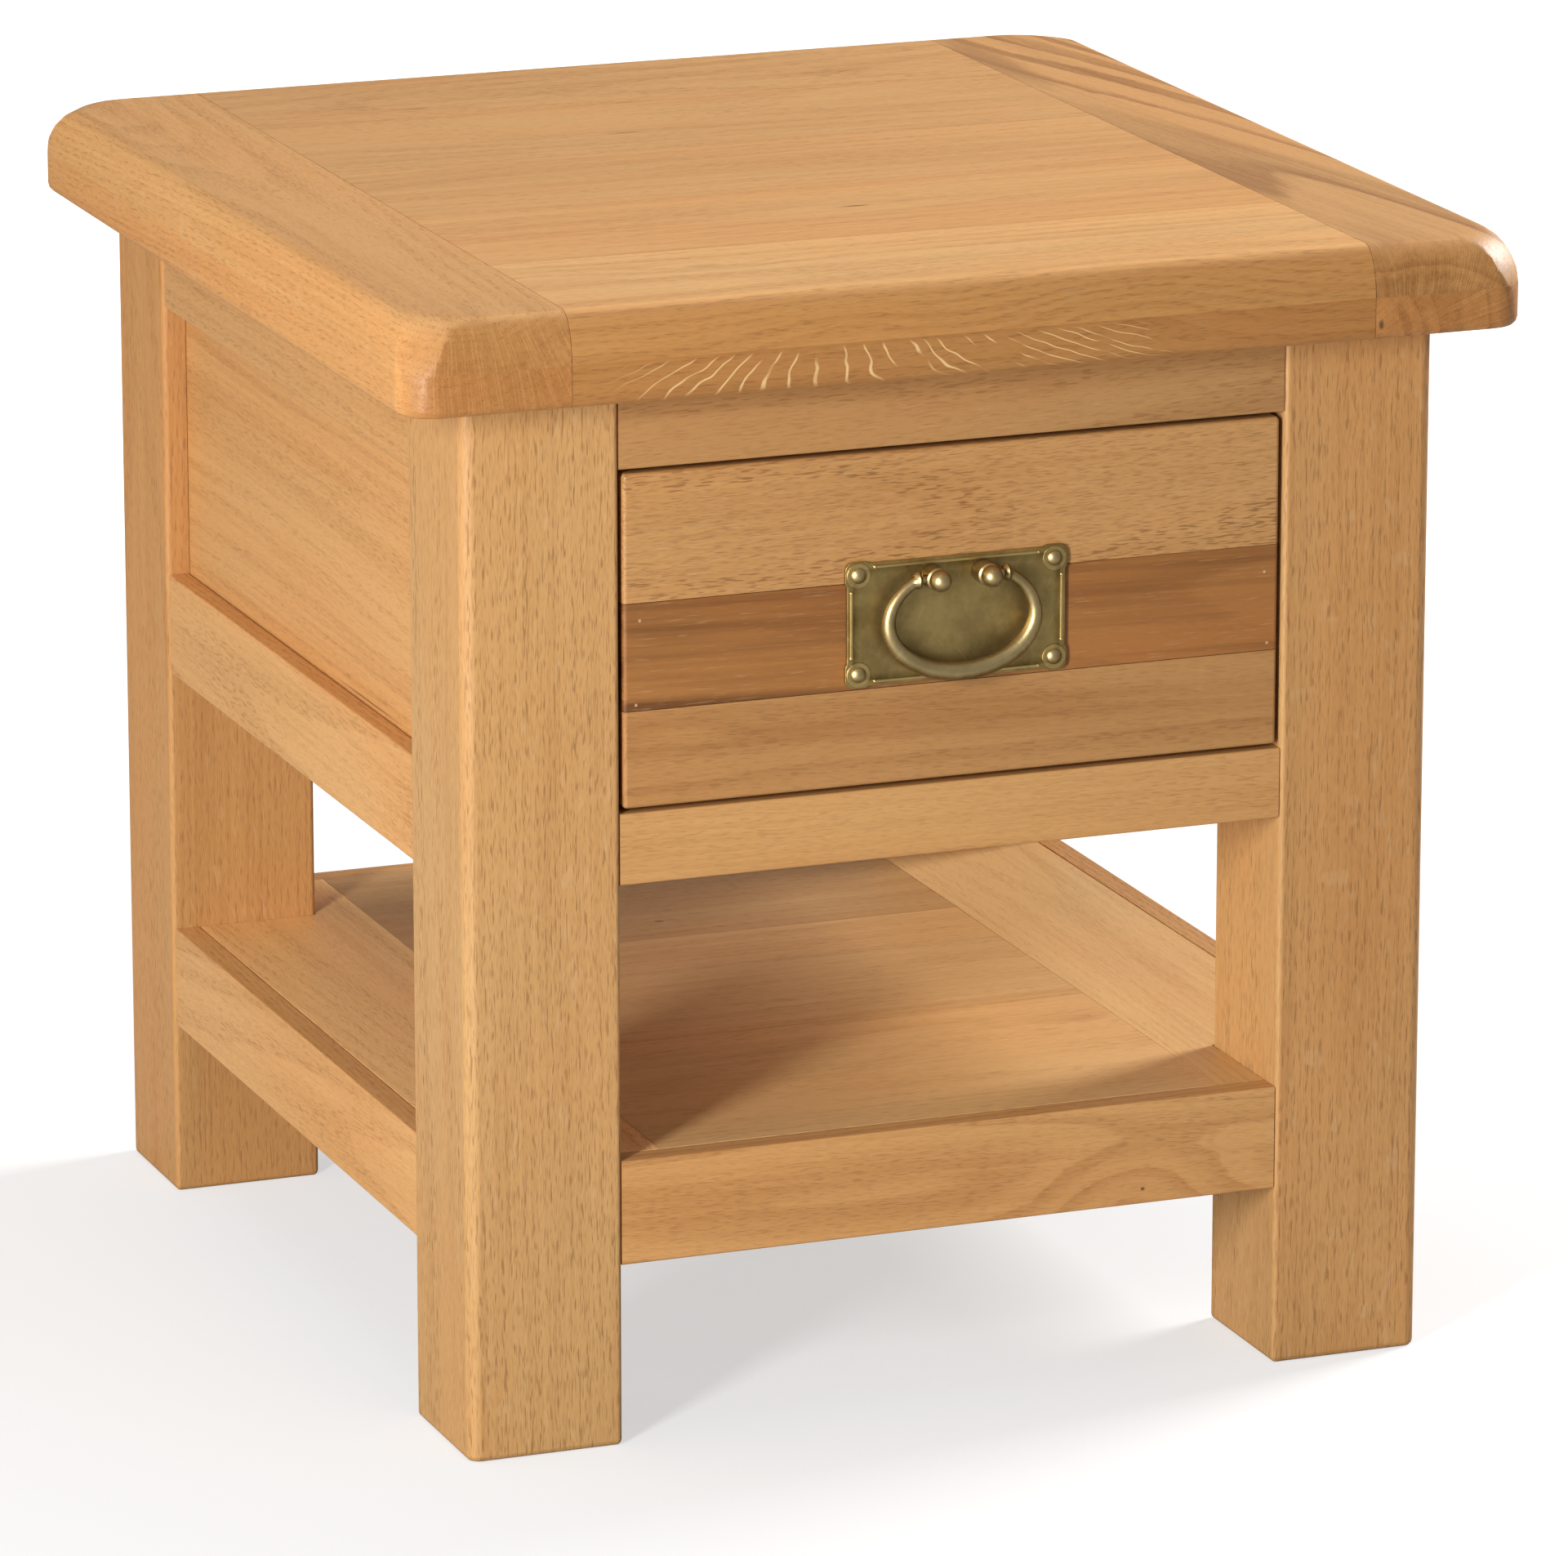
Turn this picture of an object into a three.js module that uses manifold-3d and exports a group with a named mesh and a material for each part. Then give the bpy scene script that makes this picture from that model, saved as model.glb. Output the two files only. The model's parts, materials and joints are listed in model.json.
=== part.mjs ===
// Oak side table with one drawer and an open shelf, in millimetres.
// +Z is up, the drawer opens towards -Y, and the origin is on the floor under the middle of the table top.
import * as THREE from "three";
import { mergeVertices } from "three/addons/utils/BufferGeometryUtils.js";
import Module from "manifold-3d";

const wasm = await Module();
wasm.setup();

// Clearances
const gap = 0.3; // between pieces that touch or are glued
const nudge = 1; // how far a cut runs past the face it opens

// Table top
const tableHeight = 500;
const topWidth = 505;
const topDepth = 515;
const topThickness = 40;
const frontOverhang = 26;
const backOverhang = 11;
const sideOverhang = 32.5;
const topCornerRadius = 16;
const topEdgeInset = 12;
const topEdgeDrop = 22;
const topUnderRound = 4;
const softCornerRadius = 56; // the worn-down corners of the upper face
const softCornerSpread = 12;
const softCornerDrop = 30;
const topEndBoardWidth = 72;
const topBoardCount = 5;
const topTongue = { length: 10, thickness: 12, setBack: 30 };

// Legs
const legSize = 69;
const legOuterRadius = 6;
const legInnerRadius = 2.5;
const legFootEase = 2.5;

// Rails and panels
const railThickness = 24;
const railSetBack = 1;
const tenonLength = 30;
const tenonThickness = 8;
const tenonShoulder = 8;
const panelThickness = 8;
const panelTongue = 7;
const panelRecess = 10;
const shelfRailBottom = 80;
const shelfTop = 126;
const apronHeight = 213; // from the underside of the top down to the foot of the drawer section
const drawerRailHeight = 31;
const apronLowRailHeight = 46;
const apronTopRailHeight = 43;
const frontTopRailHeight = 34;

// Shelf
const shelfThickness = 18;
const shelfRebate = 12;
const shelfEndBoardReach = 22; // how far an end board runs in past the legs' inner faces
const shelfBoardCount = 3;
const shelfTongue = { length: 6, thickness: 6, setBack: 12 };

// Drawer
const drawerGap = 2;
const drawerFrontThickness = 20;
const drawerBoardShares = [0.292, 0.322, 0.386]; // from the bottom board up
const drawerSideThickness = 12;
const drawerSideDrop = 14; // from the top of the front
const drawerRearRoom = 11; // behind the stops
const drawerLap = 8;
const dovetailRoot = 8; // half heights of a tail
const dovetailTip = 11;
const drawerBackThickness = 12;
const drawerBackInset = 6;
const drawerBackDrop = 10;
const housingDepth = 5;
const drawerBottomThickness = 6;
const drawerBottomLift = 8;

// Drawer supports
const runnerWidth = 22;
const runnerHeight = 22;
const guideHeight = 18;
const guideWidth = 12;
const guideClearance = 1;
const stopHeight = 20;
const stopLength = 20;

// Screws that hold the top down through the kickers
const screwLength = 56;
const screwRadius = 2;
const screwHeadRadius = 4.2;
const screwHeadHeight = 2.8;
const screwSink = 4;
const screwReach = 120; // from the middle of the table, front and back

// Handle
const handleDrop = 1.5; // below the middle of the drawer front
const plateWidth = 99;
const plateHeight = 53;
const plateThickness = 1.6;
const plateLobe = 12;
const plateLobeRadius = 3.6;
const plateLobeProud = 0.8;
const beadWidth = 1.1;
const beadHeight = 0.8;
const beadInset = 1.2;
const beadClearance = 0.4; // to the feet of the posts
const pinHeadRadius = 3.5;
const pinHeadHeight = 2.2;
const pinShankRadius = 1.1;
const pinShankLength = 11;
const pinInset = 5;
const postSpacing = 23.4;
const pivotReach = 6.2; // from the plate's face
const ballReach = 11; // the same, to the middle of the ball
const ballRadius = 4.7;
const postRadius = 5;
const postLength = 8.8; // from the plate's face to the throat under the ball
const postEase = 0.7;
const throatRadius = 4.2;
const studRadius = 2;
const nutRadius = 4.4;
const nutHeight = 3.2;
const studEnd = 1;
const bailDrop = 41;
const bailHalfWidth = 33.4;
const bailPinRadius = 1.7;
const bailEndRadius = 2.3;
const bailMiddleRadius = 4.1;
const bailPinDepth = 3.6;
const collarRadius = 3.9;
const collarHalfLength = 2;
const collarClearance = 1.5; // to the side of the post

// Levels and faces that follow from the sizes above
const topBottom = tableHeight - topThickness;
const legTop = topBottom - gap;
const halfFrame = topWidth / 2 - sideOverhang;
const legInnerX = halfFrame - legSize;
const frontY = -topDepth / 2 + frontOverhang;
const backY = topDepth / 2 - backOverhang;
const legInnerFrontY = frontY + legSize;
const legInnerBackY = backY - legSize;
const railFrontY = frontY + railSetBack;
const railBackY = backY - railSetBack;
const railSideX = halfFrame - railSetBack;
const drawerRailBottom = topBottom - apronHeight;
const drawerRailTop = drawerRailBottom + drawerRailHeight;
const frontTopRailBottom = topBottom - frontTopRailHeight;
const apronLowRailTop = drawerRailBottom + apronLowRailHeight;
const apronTopRailBottom = topBottom - apronTopRailHeight;

const group = new THREE.Group();

const looks = {
  oak: { color: 0xc99b63, roughness: 0.55, metalness: 0 },
  darkOak: { color: 0xa8713f, roughness: 0.55, metalness: 0 },
  innerWood: { color: 0xd3b083, roughness: 0.7, metalness: 0 },
  brass: { color: 0x7d6c3c, roughness: 0.4, metalness: 1 },
  steel: { color: 0x8d8f92, roughness: 0.35, metalness: 1 },
};

function solidOf(geometry) {
  const bare = geometry.clone();
  bare.deleteAttribute("normal");
  bare.deleteAttribute("uv");
  const merged = mergeVertices(bare, 1e-4);
  return new wasm.Manifold(
    new wasm.Mesh({
      numProp: 3,
      vertProperties: new Float32Array(merged.attributes.position.array),
      triVerts: new Uint32Array(merged.index.array),
    }),
  );
}

function addPiece(name, solid, look) {
  const mesh = solid.getMesh();
  const geometry = new THREE.BufferGeometry();
  geometry.setAttribute("position", new THREE.BufferAttribute(mesh.vertProperties, 3));
  geometry.setIndex(new THREE.BufferAttribute(mesh.triVerts, 1));
  geometry.computeVertexNormals();
  const piece = new THREE.Mesh(geometry, new THREE.MeshStandardMaterial(looks[look]));
  piece.name = name;
  group.add(piece);
}

// A block between two corners, whichever way round they are given.
function block(x0, x1, y0, y1, z0, z1) {
  const box = new THREE.BoxGeometry(Math.abs(x1 - x0), Math.abs(y1 - y0), Math.abs(z1 - z0));
  box.translate((x0 + x1) / 2, (y0 + y1) / 2, (z0 + z1) / 2);
  return solidOf(box);
}

// Radii run anticlockwise from the low x, low y corner.
function roundedRectangle(x0, x1, y0, y1, radii) {
  const [a, b, c, d] = radii;
  const shape = new THREE.Shape();
  shape.moveTo(x0 + a, y0);
  shape.lineTo(x1 - b, y0);
  shape.absarc(x1 - b, y0 + b, b, -Math.PI / 2, 0);
  shape.lineTo(x1, y1 - c);
  shape.absarc(x1 - c, y1 - c, c, 0, Math.PI / 2);
  shape.lineTo(x0 + d, y1);
  shape.absarc(x0 + d, y1 - d, d, Math.PI / 2, Math.PI);
  shape.lineTo(x0, y0 + a);
  shape.absarc(x0 + a, y0 + a, a, Math.PI, Math.PI * 1.5);
  return shape;
}

// An upright prism from z0 to z1 whose two ends are rounded over by inset and drop.
function easedPrism(shape, z0, z1, inset, drop, segments, curveSegments) {
  const prism = new THREE.ExtrudeGeometry(shape, {
    depth: z1 - z0 - 2 * drop,
    bevelThickness: drop,
    bevelSize: inset,
    bevelOffset: -inset,
    bevelSegments: segments,
    curveSegments,
  });
  prism.translate(0, 0, z0 + drop);
  return solidOf(prism);
}

// A turned piece along Y: its profile is [radius, y] pairs from one end on the axis to the other.
function turned(profile, x, z, segments) {
  const lathe = new THREE.LatheGeometry(
    profile.map(([radius, y]) => new THREE.Vector2(radius, y)),
    segments,
  );
  lathe.translate(x, 0, z);
  return solidOf(lathe);
}

function rod(radius, from, to, segments = 16) {
  const start = new THREE.Vector3(...from);
  const end = new THREE.Vector3(...to);
  const cylinder = new THREE.CylinderGeometry(radius, radius, start.distanceTo(end), segments);
  const along = end.clone().sub(start).normalize();
  cylinder.applyQuaternion(new THREE.Quaternion().setFromUnitVectors(new THREE.Vector3(0, 1, 0), along));
  cylinder.translate(...start.add(end).multiplyScalar(0.5).toArray());
  return solidOf(cylinder);
}

function unionOf(solids) {
  return solids.reduce((whole, solid) => whole.add(solid));
}

// ---- Rails -------------------------------------------------------------------------------
// A rail is described by the way it runs, the side it closes and its levels.
// side is -1 or 1: front or back for a rail along X, left or right for a rail along Y.
const hands = [["left", -1], ["right", 1]];
const ends = [["front", -1], ["back", 1]];

const levels = {
  overDrawer: { bottom: frontTopRailBottom, top: legTop },
  underDrawer: { bottom: drawerRailBottom, top: drawerRailTop },
  shelf: { bottom: shelfRailBottom, top: shelfTop, rebated: true },
  apronTop: { bottom: apronTopRailBottom, top: legTop, groove: "below" },
  apronLow: { bottom: drawerRailBottom, top: apronLowRailTop, groove: "above" },
};
const rails = [
  { name: "top_rail_front", along: "x", side: -1, ...levels.overDrawer },
  { name: "drawer_rail_front", along: "x", side: -1, ...levels.underDrawer },
  { name: "shelf_rail_front", along: "x", side: -1, ...levels.shelf },
  { name: "shelf_rail_back", along: "x", side: 1, ...levels.shelf },
  { name: "back_top_rail", along: "x", side: 1, ...levels.apronTop },
  { name: "back_low_rail", along: "x", side: 1, ...levels.apronLow },
];
for (const [hand, side] of hands) {
  rails.push(
    { name: `shelf_rail_${hand}`, along: "y", side, ...levels.shelf },
    { name: `side_top_rail_${hand}`, along: "y", side, ...levels.apronTop },
    { name: `side_low_rail_${hand}`, along: "y", side, ...levels.apronLow },
  );
}

// Blocks in a rail's own terms: along its length, then across from its outer face inwards, then up.
function railBlock(rail, start, end, fromOuter, toOuter, z0, z1) {
  if (rail.along === "y") {
    const outer = rail.side * railSideX;
    return block(outer - rail.side * fromOuter, outer - rail.side * toOuter, start, end, z0, z1);
  }
  const outer = rail.side < 0 ? railFrontY : railBackY;
  return block(start, end, outer - rail.side * fromOuter, outer - rail.side * toOuter, z0, z1);
}

function railSpan(rail) {
  return rail.along === "x" ? [-legInnerX, legInnerX] : [legInnerFrontY, legInnerBackY];
}

// The pair of tenons, or with extra clearance the room that the legs' mortises leave for them.
function tenons(rail, extra) {
  const [start, end] = railSpan(rail);
  const middle = railThickness / 2;
  return railBlock(
    rail,
    start - tenonLength - extra,
    end + tenonLength + extra,
    middle - tenonThickness / 2 - extra,
    middle + tenonThickness / 2 + extra,
    rail.bottom + tenonShoulder - extra,
    rail.top - tenonShoulder + extra,
  );
}

// A panel stands panelRecess behind the rails' outer faces and runs into their grooves.
function panelBlock(rail, reach, extra) {
  const [start, end] = railSpan(rail);
  return railBlock(
    rail,
    start - reach,
    end + reach,
    panelRecess - extra,
    panelRecess + panelThickness + extra,
    apronLowRailTop - reach,
    apronTopRailBottom + reach,
  );
}

function makeRail(rail) {
  const [start, end] = railSpan(rail);
  let solid = railBlock(rail, start + gap, end - gap, 0, railThickness, rail.bottom, rail.top);
  solid = solid.add(tenons(rail, 0));
  if (rail.groove) solid = solid.subtract(panelBlock(rail, panelTongue + gap, gap));
  if (rail.rebated) {
    const rebateBottom = shelfTop - shelfThickness - gap;
    const rebateStart = railThickness - shelfRebate;
    solid = solid.subtract(
      railBlock(rail, start, end, rebateStart, railThickness + nudge, rebateBottom, shelfTop + nudge),
    );
  }
  return solid;
}

// ---- Legs --------------------------------------------------------------------------------
const mortises = unionOf(rails.map((rail) => tenons(rail, gap)));
const panelRails = rails.filter((rail) => rail.groove === "above");
const panelGrooves = unionOf(panelRails.map((rail) => panelBlock(rail, panelTongue + gap, gap)));

function makeLeg(sideX, sideY) {
  const outerX = sideX * halfFrame;
  const innerX = sideX * legInnerX;
  const outerY = sideY < 0 ? frontY : backY;
  const innerY = sideY < 0 ? legInnerFrontY : legInnerBackY;
  const corners = [[-1, -1], [1, -1], [1, 1], [-1, 1]];
  const radii = corners.map(([x, y]) => (x === sideX && y === sideY ? legOuterRadius : legInnerRadius));
  const shape = roundedRectangle(
    Math.min(outerX, innerX),
    Math.max(outerX, innerX),
    Math.min(outerY, innerY),
    Math.max(outerY, innerY),
    radii,
  );
  const post = easedPrism(shape, 0, tableHeight, legFootEase - 0.2, legFootEase, 3, 5);
  const sawn = block(-topWidth, topWidth, -topDepth, topDepth, -nudge, legTop);
  return post.intersect(sawn).subtract(mortises).subtract(panelGrooves);
}

// ---- Table top ---------------------------------------------------------------------------
function topOutline(spread, radius) {
  const x = topWidth / 2 + spread;
  const y = topDepth / 2 + spread;
  return roundedRectangle(-x, x, -y, y, [radius, radius, radius, radius]);
}

// The glued-up slab: a moulded upper edge, softer corners above and a small round below.
function makeSlab() {
  const moulded = easedPrism(
    topOutline(0, topCornerRadius),
    topBottom - 2 * topEdgeDrop,
    tableHeight,
    topEdgeInset,
    topEdgeDrop,
    6,
    8,
  );
  const softened = easedPrism(
    topOutline(softCornerSpread, softCornerRadius),
    topBottom - 2 * softCornerDrop,
    tableHeight,
    topEdgeInset + softCornerSpread - gap,
    softCornerDrop,
    6,
    8,
  );
  const under = easedPrism(
    topOutline(0, topCornerRadius),
    topBottom,
    tableHeight + 4 * topUnderRound,
    topUnderRound,
    topUnderRound,
    3,
    8,
  );
  return moulded.intersect(softened).intersect(under);
}

// The tongue strip on one end of a row of boards, or with extra clearance the groove for it.
function tongueStrip(side, joint, tongue, front, back, middleZ, extra) {
  return block(
    side * (joint - nudge),
    side * (joint + tongue.length + extra),
    front + tongue.setBack - extra,
    back - tongue.setBack + extra,
    middleZ - tongue.thickness / 2 - extra,
    middleZ + tongue.thickness / 2 + extra,
  );
}

// A row of boards along X between the end boards, with tongues at both ends.
function addBoardRow(name, slab, count, joint, front, back, z0, z1, tongue) {
  const middleZ = (z0 + z1) / 2;
  const tongues = [-1, 1].map((side) => tongueStrip(side, joint, tongue, front, back, middleZ, 0));
  const pitch = (back - front) / count;
  for (let i = 0; i < count; i++) {
    const near = front + i * pitch + (i > 0 ? gap / 2 : -nudge);
    const far = front + (i + 1) * pitch - (i < count - 1 ? gap / 2 : -nudge);
    const stretch = block(-topWidth, topWidth, near, far, z0 - nudge, z1 + nudge);
    const middle = block(-joint + gap / 2, joint - gap / 2, near, far, z0 - nudge, z1 + nudge);
    const board = slab.intersect(middle).add(unionOf(tongues).intersect(stretch));
    addPiece(`${name}_${i + 1}`, board, "oak");
  }
}

function makeEndBoard(slab, side, joint, front, back, z0, z1, tongue) {
  const blankY = [front - nudge, back + nudge];
  const blank = block(side * (joint + gap / 2), side * topWidth, ...blankY, z0 - nudge, z1 + nudge);
  const groove = tongueStrip(side, joint, tongue, front, back, (z0 + z1) / 2, gap);
  return slab.intersect(blank).subtract(groove);
}

// ---- Shelf -------------------------------------------------------------------------------
const rebateDepth = railThickness - shelfRebate;
const shelfFront = railFrontY + rebateDepth + gap;
const shelfBack = railBackY - rebateDepth - gap;
const shelfHalfWidth = railSideX - rebateDepth - gap;

function makeShelf() {
  const bottom = shelfTop - shelfThickness;
  const lengthwise = block(-legInnerX + gap, legInnerX - gap, shelfFront, shelfBack, bottom, shelfTop);
  const between = [legInnerFrontY + gap, legInnerBackY - gap];
  return lengthwise.add(block(-shelfHalfWidth, shelfHalfWidth, ...between, bottom, shelfTop));
}

// ---- Drawer supports ---------------------------------------------------------------------
const supportFront = railFrontY + railThickness + gap;
const supportBack = railBackY - railThickness - gap;
const sideRailInner = railSideX - railThickness - gap;
const runnerInner = legInnerX - runnerWidth;
const drawerHalfWidth = legInnerX - drawerGap;
const guideStart = drawerHalfWidth + guideClearance;

function makeRunner(side) {
  const height = [drawerRailTop - runnerHeight, drawerRailTop];
  const between = [legInnerFrontY + gap, legInnerBackY - gap];
  const bar = block(side * runnerInner, side * (legInnerX - gap), supportFront, supportBack, ...height);
  const shoulder = block(side * runnerInner, side * sideRailInner, ...between, ...height);
  const guideX = [side * guideStart, side * (guideStart + guideWidth)];
  const guide = block(...guideX, ...between, drawerRailTop - nudge, drawerRailTop + guideHeight);
  return unionOf([bar, shoulder, guide]);
}

const screwX = legInnerX - runnerWidth / 2;
const screwTip = frontTopRailBottom + screwSink + screwLength;

function screwHoles(extra) {
  const holes = [-1, 1].flatMap((sideX) =>
    [-1, 1].map((sideY) => {
      const x = sideX * screwX;
      const y = sideY * screwReach;
      const shank = rod(screwRadius + extra, [x, y, frontTopRailBottom], [x, y, screwTip + extra]);
      const sink = rod(
        screwHeadRadius + extra,
        [x, y, frontTopRailBottom - nudge],
        [x, y, frontTopRailBottom + screwSink + screwHeadHeight + extra],
      );
      return shank.add(sink);
    }),
  );
  return unionOf(holes);
}

function makeKicker(side) {
  return block(
    side * runnerInner,
    side * (legInnerX - gap),
    supportFront,
    supportBack,
    frontTopRailBottom,
    legTop,
  ).subtract(screwHoles(gap));
}

function makeScrew(sideX, sideY) {
  const seat = frontTopRailBottom + screwSink;
  const profile = [
    [0, 0],
    [screwHeadRadius, 0],
    [screwHeadRadius, 0.6],
    [screwRadius, screwHeadHeight],
    [screwRadius, screwLength - 6],
    [0, screwLength],
  ];
  const lathe = new THREE.LatheGeometry(profile.map(([radius, y]) => new THREE.Vector2(radius, y)), 16);
  lathe.rotateX(Math.PI / 2);
  lathe.translate(sideX * screwX, sideY * screwReach, seat);
  return solidOf(lathe);
}

// ---- Drawer ------------------------------------------------------------------------------
const drawerFrontY = railFrontY;
const drawerInnerY = drawerFrontY + drawerFrontThickness;
const drawerFrontBottom = drawerRailTop + drawerGap;
const drawerFrontTop = frontTopRailBottom - drawerGap;
const drawerSideBottom = drawerRailTop + gap;
const drawerSideTop = drawerFrontTop - drawerSideDrop;
const drawerSideInner = drawerHalfWidth - drawerSideThickness;
const drawerEndY = supportBack - drawerRearRoom - stopLength - gap;
const drawerBackY = drawerEndY - drawerBackInset - drawerBackThickness;
const bottomPanelZ = drawerSideBottom + drawerBottomLift;
const bottomPanelTop = bottomPanelZ + drawerBottomThickness;

const drawerBoards = [];
let boardBottom = drawerFrontBottom;
for (const share of drawerBoardShares) {
  const boardTop = boardBottom + share * (drawerFrontTop - drawerFrontBottom);
  drawerBoards.push({ bottom: boardBottom, top: boardTop });
  boardBottom = boardTop;
}

// One dovetail in each front board, as deep as the lap allows.
function dovetails(side, extra) {
  const tails = drawerBoards.map(({ bottom, top }) => {
    const middle = (bottom + Math.min(top, drawerSideTop)) / 2;
    const length = drawerFrontThickness - drawerLap;
    const root = dovetailRoot + extra;
    const tip = dovetailTip + extra;
    const shape = new THREE.Shape([
      new THREE.Vector2(0, -root),
      new THREE.Vector2(length + extra, -tip),
      new THREE.Vector2(length + extra, tip),
      new THREE.Vector2(0, root),
      new THREE.Vector2(-nudge, root),
      new THREE.Vector2(-nudge, -root),
    ]);
    const overrun = extra > 0 ? nudge : 0;
    const tail = new THREE.ExtrudeGeometry(shape, {
      depth: drawerSideThickness + extra + overrun,
      bevelEnabled: false,
    });
    // the shape's x runs forwards from the joint and its y runs up
    const turn = new THREE.Matrix4().makeBasis(
      new THREE.Vector3(0, -1, 0),
      new THREE.Vector3(0, 0, 1),
      new THREE.Vector3(-1, 0, 0),
    );
    tail.applyMatrix4(turn);
    const outerX = side > 0 ? drawerHalfWidth + overrun : -drawerSideInner + extra;
    tail.translate(outerX, drawerInnerY, middle);
    return solidOf(tail);
  });
  return unionOf(tails);
}

function bottomPanel(extra) {
  const reach = drawerSideInner + housingDepth + extra;
  const front = drawerInnerY - housingDepth - extra;
  const back = drawerEndY - drawerBackInset;
  return block(-reach, reach, front, back, bottomPanelZ - extra, bottomPanelTop + extra);
}

function backBoard(extra) {
  const reach = drawerSideInner + housingDepth + extra;
  return block(
    -reach,
    reach,
    drawerBackY - extra,
    drawerBackY + drawerBackThickness + extra,
    bottomPanelTop + gap - extra,
    drawerSideTop - drawerBackDrop + extra,
  );
}

function makeDrawerSide(side) {
  const plank = block(
    side * drawerSideInner,
    side * drawerHalfWidth,
    drawerInnerY + gap,
    drawerEndY,
    drawerSideBottom,
    drawerSideTop,
  );
  return plank.add(dovetails(side, 0)).subtract(bottomPanel(gap)).subtract(backBoard(gap));
}

// ---- Handle ------------------------------------------------------------------------------
const handleZ = (drawerFrontBottom + drawerFrontTop) / 2 - handleDrop;
const plateFaceY = drawerFrontY - gap - plateThickness;
const pivotDrop = beadInset + beadWidth + beadClearance + postRadius;
const pivotY = plateFaceY - pivotReach;
const pivotZ = handleZ + plateHeight / 2 - pivotDrop;
const postX = postSpacing / 2;
const pinX = plateWidth / 2 - pinInset;
const pinZ = plateHeight / 2 - pinInset;
const nutFaceY = drawerInnerY + gap;

function platePins(radius, deep) {
  const pins = [-1, 1].flatMap((sideX) =>
    [-1, 1].map((sideZ) => {
      const x = sideX * pinX;
      const z = handleZ + sideZ * pinZ;
      return rod(radius, [x, plateFaceY - nudge, z], [x, deep, z], 12);
    }),
  );
  return unionOf(pins);
}

function postStuds(radius) {
  const studs = [-1, 1].map((side) => {
    const x = side * postX;
    return rod(radius, [x, plateFaceY - nudge, pivotZ], [x, drawerInnerY + nudge, pivotZ], 16);
  });
  return unionOf(studs);
}

function uprightPlate(shape, depth) {
  const plate = new THREE.ExtrudeGeometry(shape, { depth, bevelEnabled: false, curveSegments: 4 });
  plate.rotateX(Math.PI / 2);
  return plate;
}

function makePlate() {
  const halfWidth = plateWidth / 2;
  const halfHeight = plateHeight / 2;
  const sheet = roundedRectangle(-halfWidth, halfWidth, -halfHeight, halfHeight, [2, 2, 2, 2]);
  const solids = [solidOf(uprightPlate(sheet, plateThickness))];
  for (const sideX of [-1, 1]) {
    for (const sideZ of [-1, 1]) {
      const outerX = sideX * (halfWidth + plateLobeProud);
      const outerZ = sideZ * (halfHeight + plateLobeProud);
      const lobe = roundedRectangle(
        Math.min(outerX, outerX - sideX * plateLobe),
        Math.max(outerX, outerX - sideX * plateLobe),
        Math.min(outerZ, outerZ - sideZ * plateLobe),
        Math.max(outerZ, outerZ - sideZ * plateLobe),
        [plateLobeRadius, plateLobeRadius, plateLobeRadius, plateLobeRadius],
      );
      solids.push(solidOf(uprightPlate(lobe, plateThickness)));
    }
  }
  const reachX = halfWidth - plateLobe;
  const reachZ = halfHeight - plateLobe;
  const bead = [-plateThickness - beadHeight, -plateThickness / 2];
  for (const side of [-1, 1]) {
    const outerX = side * (halfWidth - beadInset);
    const outerZ = side * (halfHeight - beadInset);
    solids.push(block(-reachX, reachX, ...bead, outerZ, outerZ - side * beadWidth));
    solids.push(block(outerX, outerX - side * beadWidth, ...bead, -reachZ, reachZ));
  }
  return unionOf(solids)
    .translate([0, drawerFrontY - gap, handleZ])
    .subtract(platePins(pinShankRadius + gap, drawerFrontY))
    .subtract(postStuds(studRadius + gap));
}

function makePlatePin(sideX, sideZ) {
  const face = plateFaceY - gap;
  const profile = [[0, face - pinHeadHeight]];
  for (let i = 1; i <= 4; i++) {
    const turn = (i / 4) * (Math.PI / 2);
    profile.push([pinHeadRadius * Math.sin(turn), face - pinHeadHeight * Math.cos(turn)]);
  }
  profile.push([pinShankRadius, face]);
  profile.push([pinShankRadius, drawerFrontY + pinShankLength - 2]);
  profile.push([0, drawerFrontY + pinShankLength]);
  return turned(profile, sideX * pinX, handleZ + sideZ * pinZ, 14);
}

// A stout post with a ball on its end, and a stud that runs through to the nut.
function makePost(side) {
  const foot = plateFaceY - gap;
  const profile = [];
  const ballY = plateFaceY - ballReach;
  const throatY = plateFaceY - postLength;
  const ballTurn = Math.PI - Math.asin(throatRadius / ballRadius);
  for (let i = 0; i <= 8; i++) {
    const turn = (i / 8) * ballTurn;
    profile.push([ballRadius * Math.sin(turn), ballY - ballRadius * Math.cos(turn)]);
  }
  profile.push([postRadius - postEase, throatY]);
  profile.push([postRadius, throatY + postEase]);
  profile.push([postRadius, foot]);
  profile.push([studRadius, foot]);
  profile.push([studRadius, nutFaceY + nutHeight + studEnd]);
  profile.push([0, nutFaceY + nutHeight + studEnd]);
  const start = [side * (postX + postRadius - bailPinDepth), pivotY, pivotZ];
  const mouth = [side * (postX + 2 * postRadius), pivotY, pivotZ];
  const socket = rod(bailPinRadius + gap, start, mouth);
  return turned(profile, side * postX, pivotZ, 20).subtract(socket);
}

function makeNut(side) {
  const x = side * postX;
  const nutEndY = nutFaceY + nutHeight;
  const nut = rod(nutRadius, [x, nutFaceY, pivotZ], [x, nutEndY, pivotZ], 6);
  const hole = rod(studRadius + gap, [x, nutFaceY - nudge, pivotZ], [x, nutEndY + nudge, pivotZ]);
  return nut.subtract(hole);
}

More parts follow.
